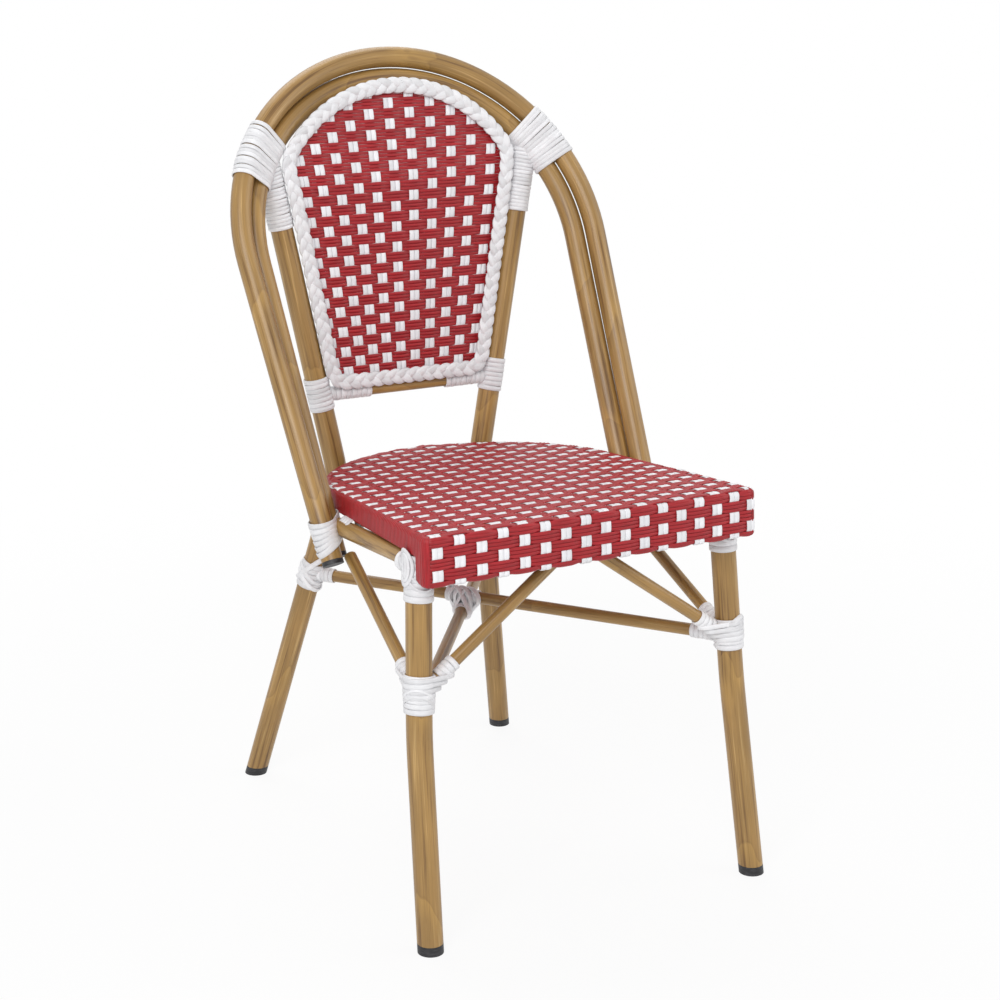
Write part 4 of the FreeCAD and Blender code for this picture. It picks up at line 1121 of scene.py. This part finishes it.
def seat_warp(seat, strands, number, offset):
    """One white strand from under the apron and over the top, its end tucked in at the back edge."""
    bottom = SEAT_FIRST_ROW - SEAT_ROW * (APRON_ROWS + 0.5)
    about = seat.back_edge(seat.column(number, seat.length * 0.85))
    x_end = seat.column(number, about) + offset
    rounding = SEAT_TOP_ROUND * min(edge_stretch(seat.back_edge, x_end), SEAT_STRETCH_LIMIT)
    end = seat.back_edge(x_end) - rounding
    s = np.arange(bottom, end, SEAT_ROW / STEPS_PER_ROW)
    path = np.array([front_profile(seat, value) for value in s])
    edge = seat.front_width - SEAT_WHITE_WIDTH
    x = np.clip(seat.column(number, path[:, 0]) + offset, -edge, edge)
    inside = np.abs(x) < seat.half_width(path[:, 0]) - SEAT_TOP_ROUND * 0.6
    on_front = path[:, 3] < 0.9
    keep = (path[:, 0] < end) & (inside | on_front)
    path, s, x = path[keep], s[keep], x[keep]
    swing = WEAVE_SWING * weave_wave(number + (s - SEAT_FIRST_ROW) / SEAT_ROW) - SEAT_WHITE_SINK * path[:, 3]
    behind = path[:, 0] + seat.corner_setback(x) * np.clip(1 - path[:, 0] / SEAT_CORNER_RADIUS, 0, 1)
    normals = np.outer(path[:, 2], seat.back) + np.outer(path[:, 3], seat.up)
    points = seat.place(x, behind, path[:, 1]) + normals * (swing - SEAT_INSET)[:, None]
    strands.add(points, normals, SEAT_WHITE_WIDTH, WEAVE_THICKNESS)


def corner_strips(seat, strands):
    """Upright strips that close the front corners below the top."""
    straight = seat.front_width - SEAT_CORNER_RADIUS
    turn = edge_turn(seat.apron, 1.0)
    for side in (LEFT, RIGHT):
        for i in range(CORNER_STRIPS):
            travel = SEAT_CORNER_RADIUS * math.radians(CORNER_STRIP_FROM_DEG) + SEAT_STRAND * i
            angle = min(travel / SEAT_CORNER_RADIUS, math.pi / 2)
            beyond = max(travel - SEAT_CORNER_RADIUS * math.pi / 2, 0.0)
            plan = side * X_AXIS * math.sin(angle) - seat.back * math.cos(angle)
            centre = seat.place([side * straight], [SEAT_CORNER_RADIUS + beyond], [0.0])[0]
            normals = np.outer(turn[:, 2], plan) + np.outer(turn[:, 3], seat.up)
            out = np.outer(SEAT_CORNER_RADIUS - turn[:, 0], plan)
            points = centre + out - np.outer(turn[:, 1], seat.up) - normals * SEAT_INSET * 0.6
            strands.add(points, normals, SEAT_STRAND, WEAVE_THICKNESS)


def back_strips(seat, strands):
    """Upright strips that close the rounded back edge, where the cross strands end far apart."""
    for x in np.arange(-BACK_STRIP_REACH, BACK_STRIP_REACH, BACK_STRIP_SPACING):
        turn = edge_turn(seat.depth, edge_stretch(seat.back_edge, x))[1:]
        normals = np.outer(turn[:, 2], seat.back) + np.outer(turn[:, 3], seat.up)
        points = seat.place(np.full(len(turn), x), seat.back_edge(x) - turn[:, 0], turn[:, 1])
        strands.add(points - normals * SEAT_INSET, normals, SEAT_STRAND, WEAVE_THICKNESS)


def seat_weave(red, white):
    """Red bands over the front, the top and the sides, woven with white pairs of strands."""
    seat = Seat()
    reds, whites = Strands(), Strands()
    for row in range(-APRON_ROWS, SEAT_LAST_ROW + 1):
        for part in range(STRANDS_PER_BAND):
            s = SEAT_FIRST_ROW + SEAT_ROW * row + SEAT_STRAND * (part - 1)
            if row < 1:
                apron_weft(seat, reds, row, s)
            else:
                seat_weft(seat, reds, row, front_profile(seat, s)[0])
    corner_strips(seat, reds)
    back_strips(seat, reds)
    for number in range(SEAT_COLUMNS):
        for part in (-0.5, 0.5):
            seat_warp(seat, whites, number, part * SEAT_WHITE_PITCH)
    reds.piece("seat_weave_red", red, "check_weave", "seat_weave")
    whites.piece("seat_weave_white", white, "check_weave", "seat_weave")


# Camera, light and floor

def add_camera():
    data = bpy.data.cameras.new("camera")
    data.sensor_width = CAMERA_SENSOR
    data.lens = CAMERA_LENS
    data.shift_y = CAMERA_SHIFT_Y
    camera = new_object("camera", data)
    azimuth, elevation = math.radians(CAMERA_AZIMUTH_DEG), math.radians(CAMERA_ELEVATION_DEG)
    level = math.cos(elevation)
    back = Vector((math.sin(azimuth) * level, -math.cos(azimuth) * level, math.sin(elevation)))
    right = Vector((math.cos(azimuth), math.sin(azimuth), 0.0))
    turn = Matrix((right, back.cross(right), back)).transposed().to_4x4()
    roll = Matrix.Rotation(math.radians(CAMERA_ROLL_DEG), 4, "Z")
    camera.matrix_world = Matrix.Translation(CAMERA_PLACE) @ turn @ roll
    bpy.context.scene.camera = camera


def add_lamps():
    for name, (place, size, power) in LAMPS.items():
        data = bpy.data.lights.new(name, "AREA")
        data.size = size
        data.energy = power
        lamp = new_object(name, data)
        lamp.location = place
        lamp.rotation_euler = (Vector(LAMP_AIM) - Vector(place)).to_track_quat("-Z", "Y").to_euler()


def seen_directly(tree):
    """1 for rays from the camera, from mirrors and through glass, 0 for the light they gather."""
    rays = add(tree, "LightPath").outputs
    total = calc(tree, "ADD", rays["Is Camera Ray"], rays["Is Glossy Ray"])
    inputs = {0: total, 1: rays["Is Transmission Ray"]}
    return add(tree, "Math", inputs, use_clamp=True).outputs[0]


def add_world():
    """White surroundings that light the chair at a plain level."""
    world = bpy.data.worlds.new("studio")
    bpy.context.scene.world = world
    tree = empty_tree(world)
    strength = calc(tree, "MULTIPLY_ADD", seen_directly(tree), 1.0 - AMBIENT, AMBIENT)
    background = add(tree, "Background", {"Color": opaque(grey(1.0)), "Strength": strength})
    add(tree, "OutputWorld", {"Surface": background.outputs[0]})


def floor_material():
    """Matt white floor that melts into the surroundings away from the chair and keeps its shadow."""
    material = bpy.data.materials.new("floor")
    tree = empty_tree(material)
    distance = add(tree, "VectorMath", {0: object_place(tree)}, operation="LENGTH").outputs["Value"]
    inputs = {"Value": distance, 1: FLOOR_FADE[0], 2: FLOOR_FADE[1], 3: FLOOR_GLOW, 4: 1.0}
    glow = add(tree, "MapRange", inputs, interpolation_type="SMOOTHSTEP").outputs[0]
    share = calc(tree, "MULTIPLY", glow, seen_directly(tree))
    matt = add(tree, "BsdfDiffuse", {"Color": opaque(grey(FLOOR_GREY))})
    white = add(tree, "Emission", {"Color": opaque(grey(1.0)), "Strength": 1.0})
    mixed = add(tree, "MixShader", {0: share, 1: matt.outputs[0], 2: white.outputs[0]})
    add(tree, "OutputMaterial", {"Surface": mixed.outputs[0]})
    return material


def add_floor():
    mesh = bpy.data.meshes.new("floor")
    half = FLOOR_SIZE / 2
    corners = [(-half, -half, 0.0), (half, -half, 0.0), (half, half, 0.0), (-half, half, 0.0)]
    mesh.from_pydata(corners, [], [(0, 1, 2, 3)])
    mesh.materials.append(floor_material())
    new_object("floor", mesh)


# Materials for the CAD pieces, and the strands

def dress(material, *nodes):
    """Gives CAD nodes their finished material."""
    for node in nodes:
        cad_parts[node].material_slots[0].material = material


def dress_tube(node, coordinates, *runs):
    """Bamboo paint along one tube of the frame."""
    dress(bamboo_material("bamboo_" + node, coordinates, *runs), node)


def dress_tubes():
    """Bamboo paint along every tube of the frame."""
    for name, hoop in HOOPS.items():
        dress_tube("hoop_" + name, hoop_coordinates, hoop)
    for side, tubes in TUBES.items():
        ending = "_" + SIDE_NAMES[side]
        dress_tube("front_leg" + ending, bent_coordinates, tubes["front_leg_foot"], tubes["front_leg"])
        dress_tube("rear_leg" + ending, bent_coordinates, tubes["rear_leg"], tubes["upright"])
        for name in ("seat_side_rail", "front_brace", "side_brace"):
            dress_tube(name + ending, straight_coordinates, tubes[name])
    level = {
        "back_cross_rail": CROSS_RAIL,
        "seat_front_rail": FRONT_RAIL,
        "seat_back_rail": BACK_RAIL,
        "cross_stretcher_upper": STRETCHERS[0],
        "cross_stretcher_lower": STRETCHERS[1],
    }
    for node, tube in level.items():
        dress_tube(node, straight_coordinates, tube)


def dress_small_pieces():
    """Black plugs, the frames hidden in the weave and the seat screws."""
    black = plug_material()
    for side_name in SIDE_NAMES.values():
        for end in ("foot_plug_front", "foot_plug_rear", "hoop_plug_front", "hoop_plug_rear"):
            dress(black, end + "_" + side_name)
    dress(metal_material("hidden_frame", 0.62, 0.48, 300), "seat_frame", "back_panel_frame")
    dress(metal_material("screw_steel", 0.72, 0.55, 900), "seat_screws")


def dress_strands():
    """Weave, plait and lashings, strand by strand."""
    red = strand_material("red_strand", RED_TONES, 0.45)
    white = strand_material("white_strand", WHITE_TONES, 0.42)
    lashing = strand_material("lashing_strand", LASHING_TONES, 0.48)
    back_weave(red, white)
    back_braid(lashing)
    seat_weave(red, white)
    for name, wound in LASHINGS.items():
        for side, side_name in SIDE_NAMES.items():
            strands = Strands()
            node = name + "_" + side_name
            wound(strands, side, node)
            strands.piece("strands_" + node, lashing, "white_lashing", node)
    strands = Strands()
    crossing_lashing(strands)
    node = "lashing_stretcher_crossing"
    strands.piece("strands_" + node, lashing, "white_lashing", node)


add_camera()
bpy.context.scene.view_settings.view_transform = "Standard"
add_world()
add_lamps()
add_floor()
dress_tubes()
dress_small_pieces()
dress_strands()
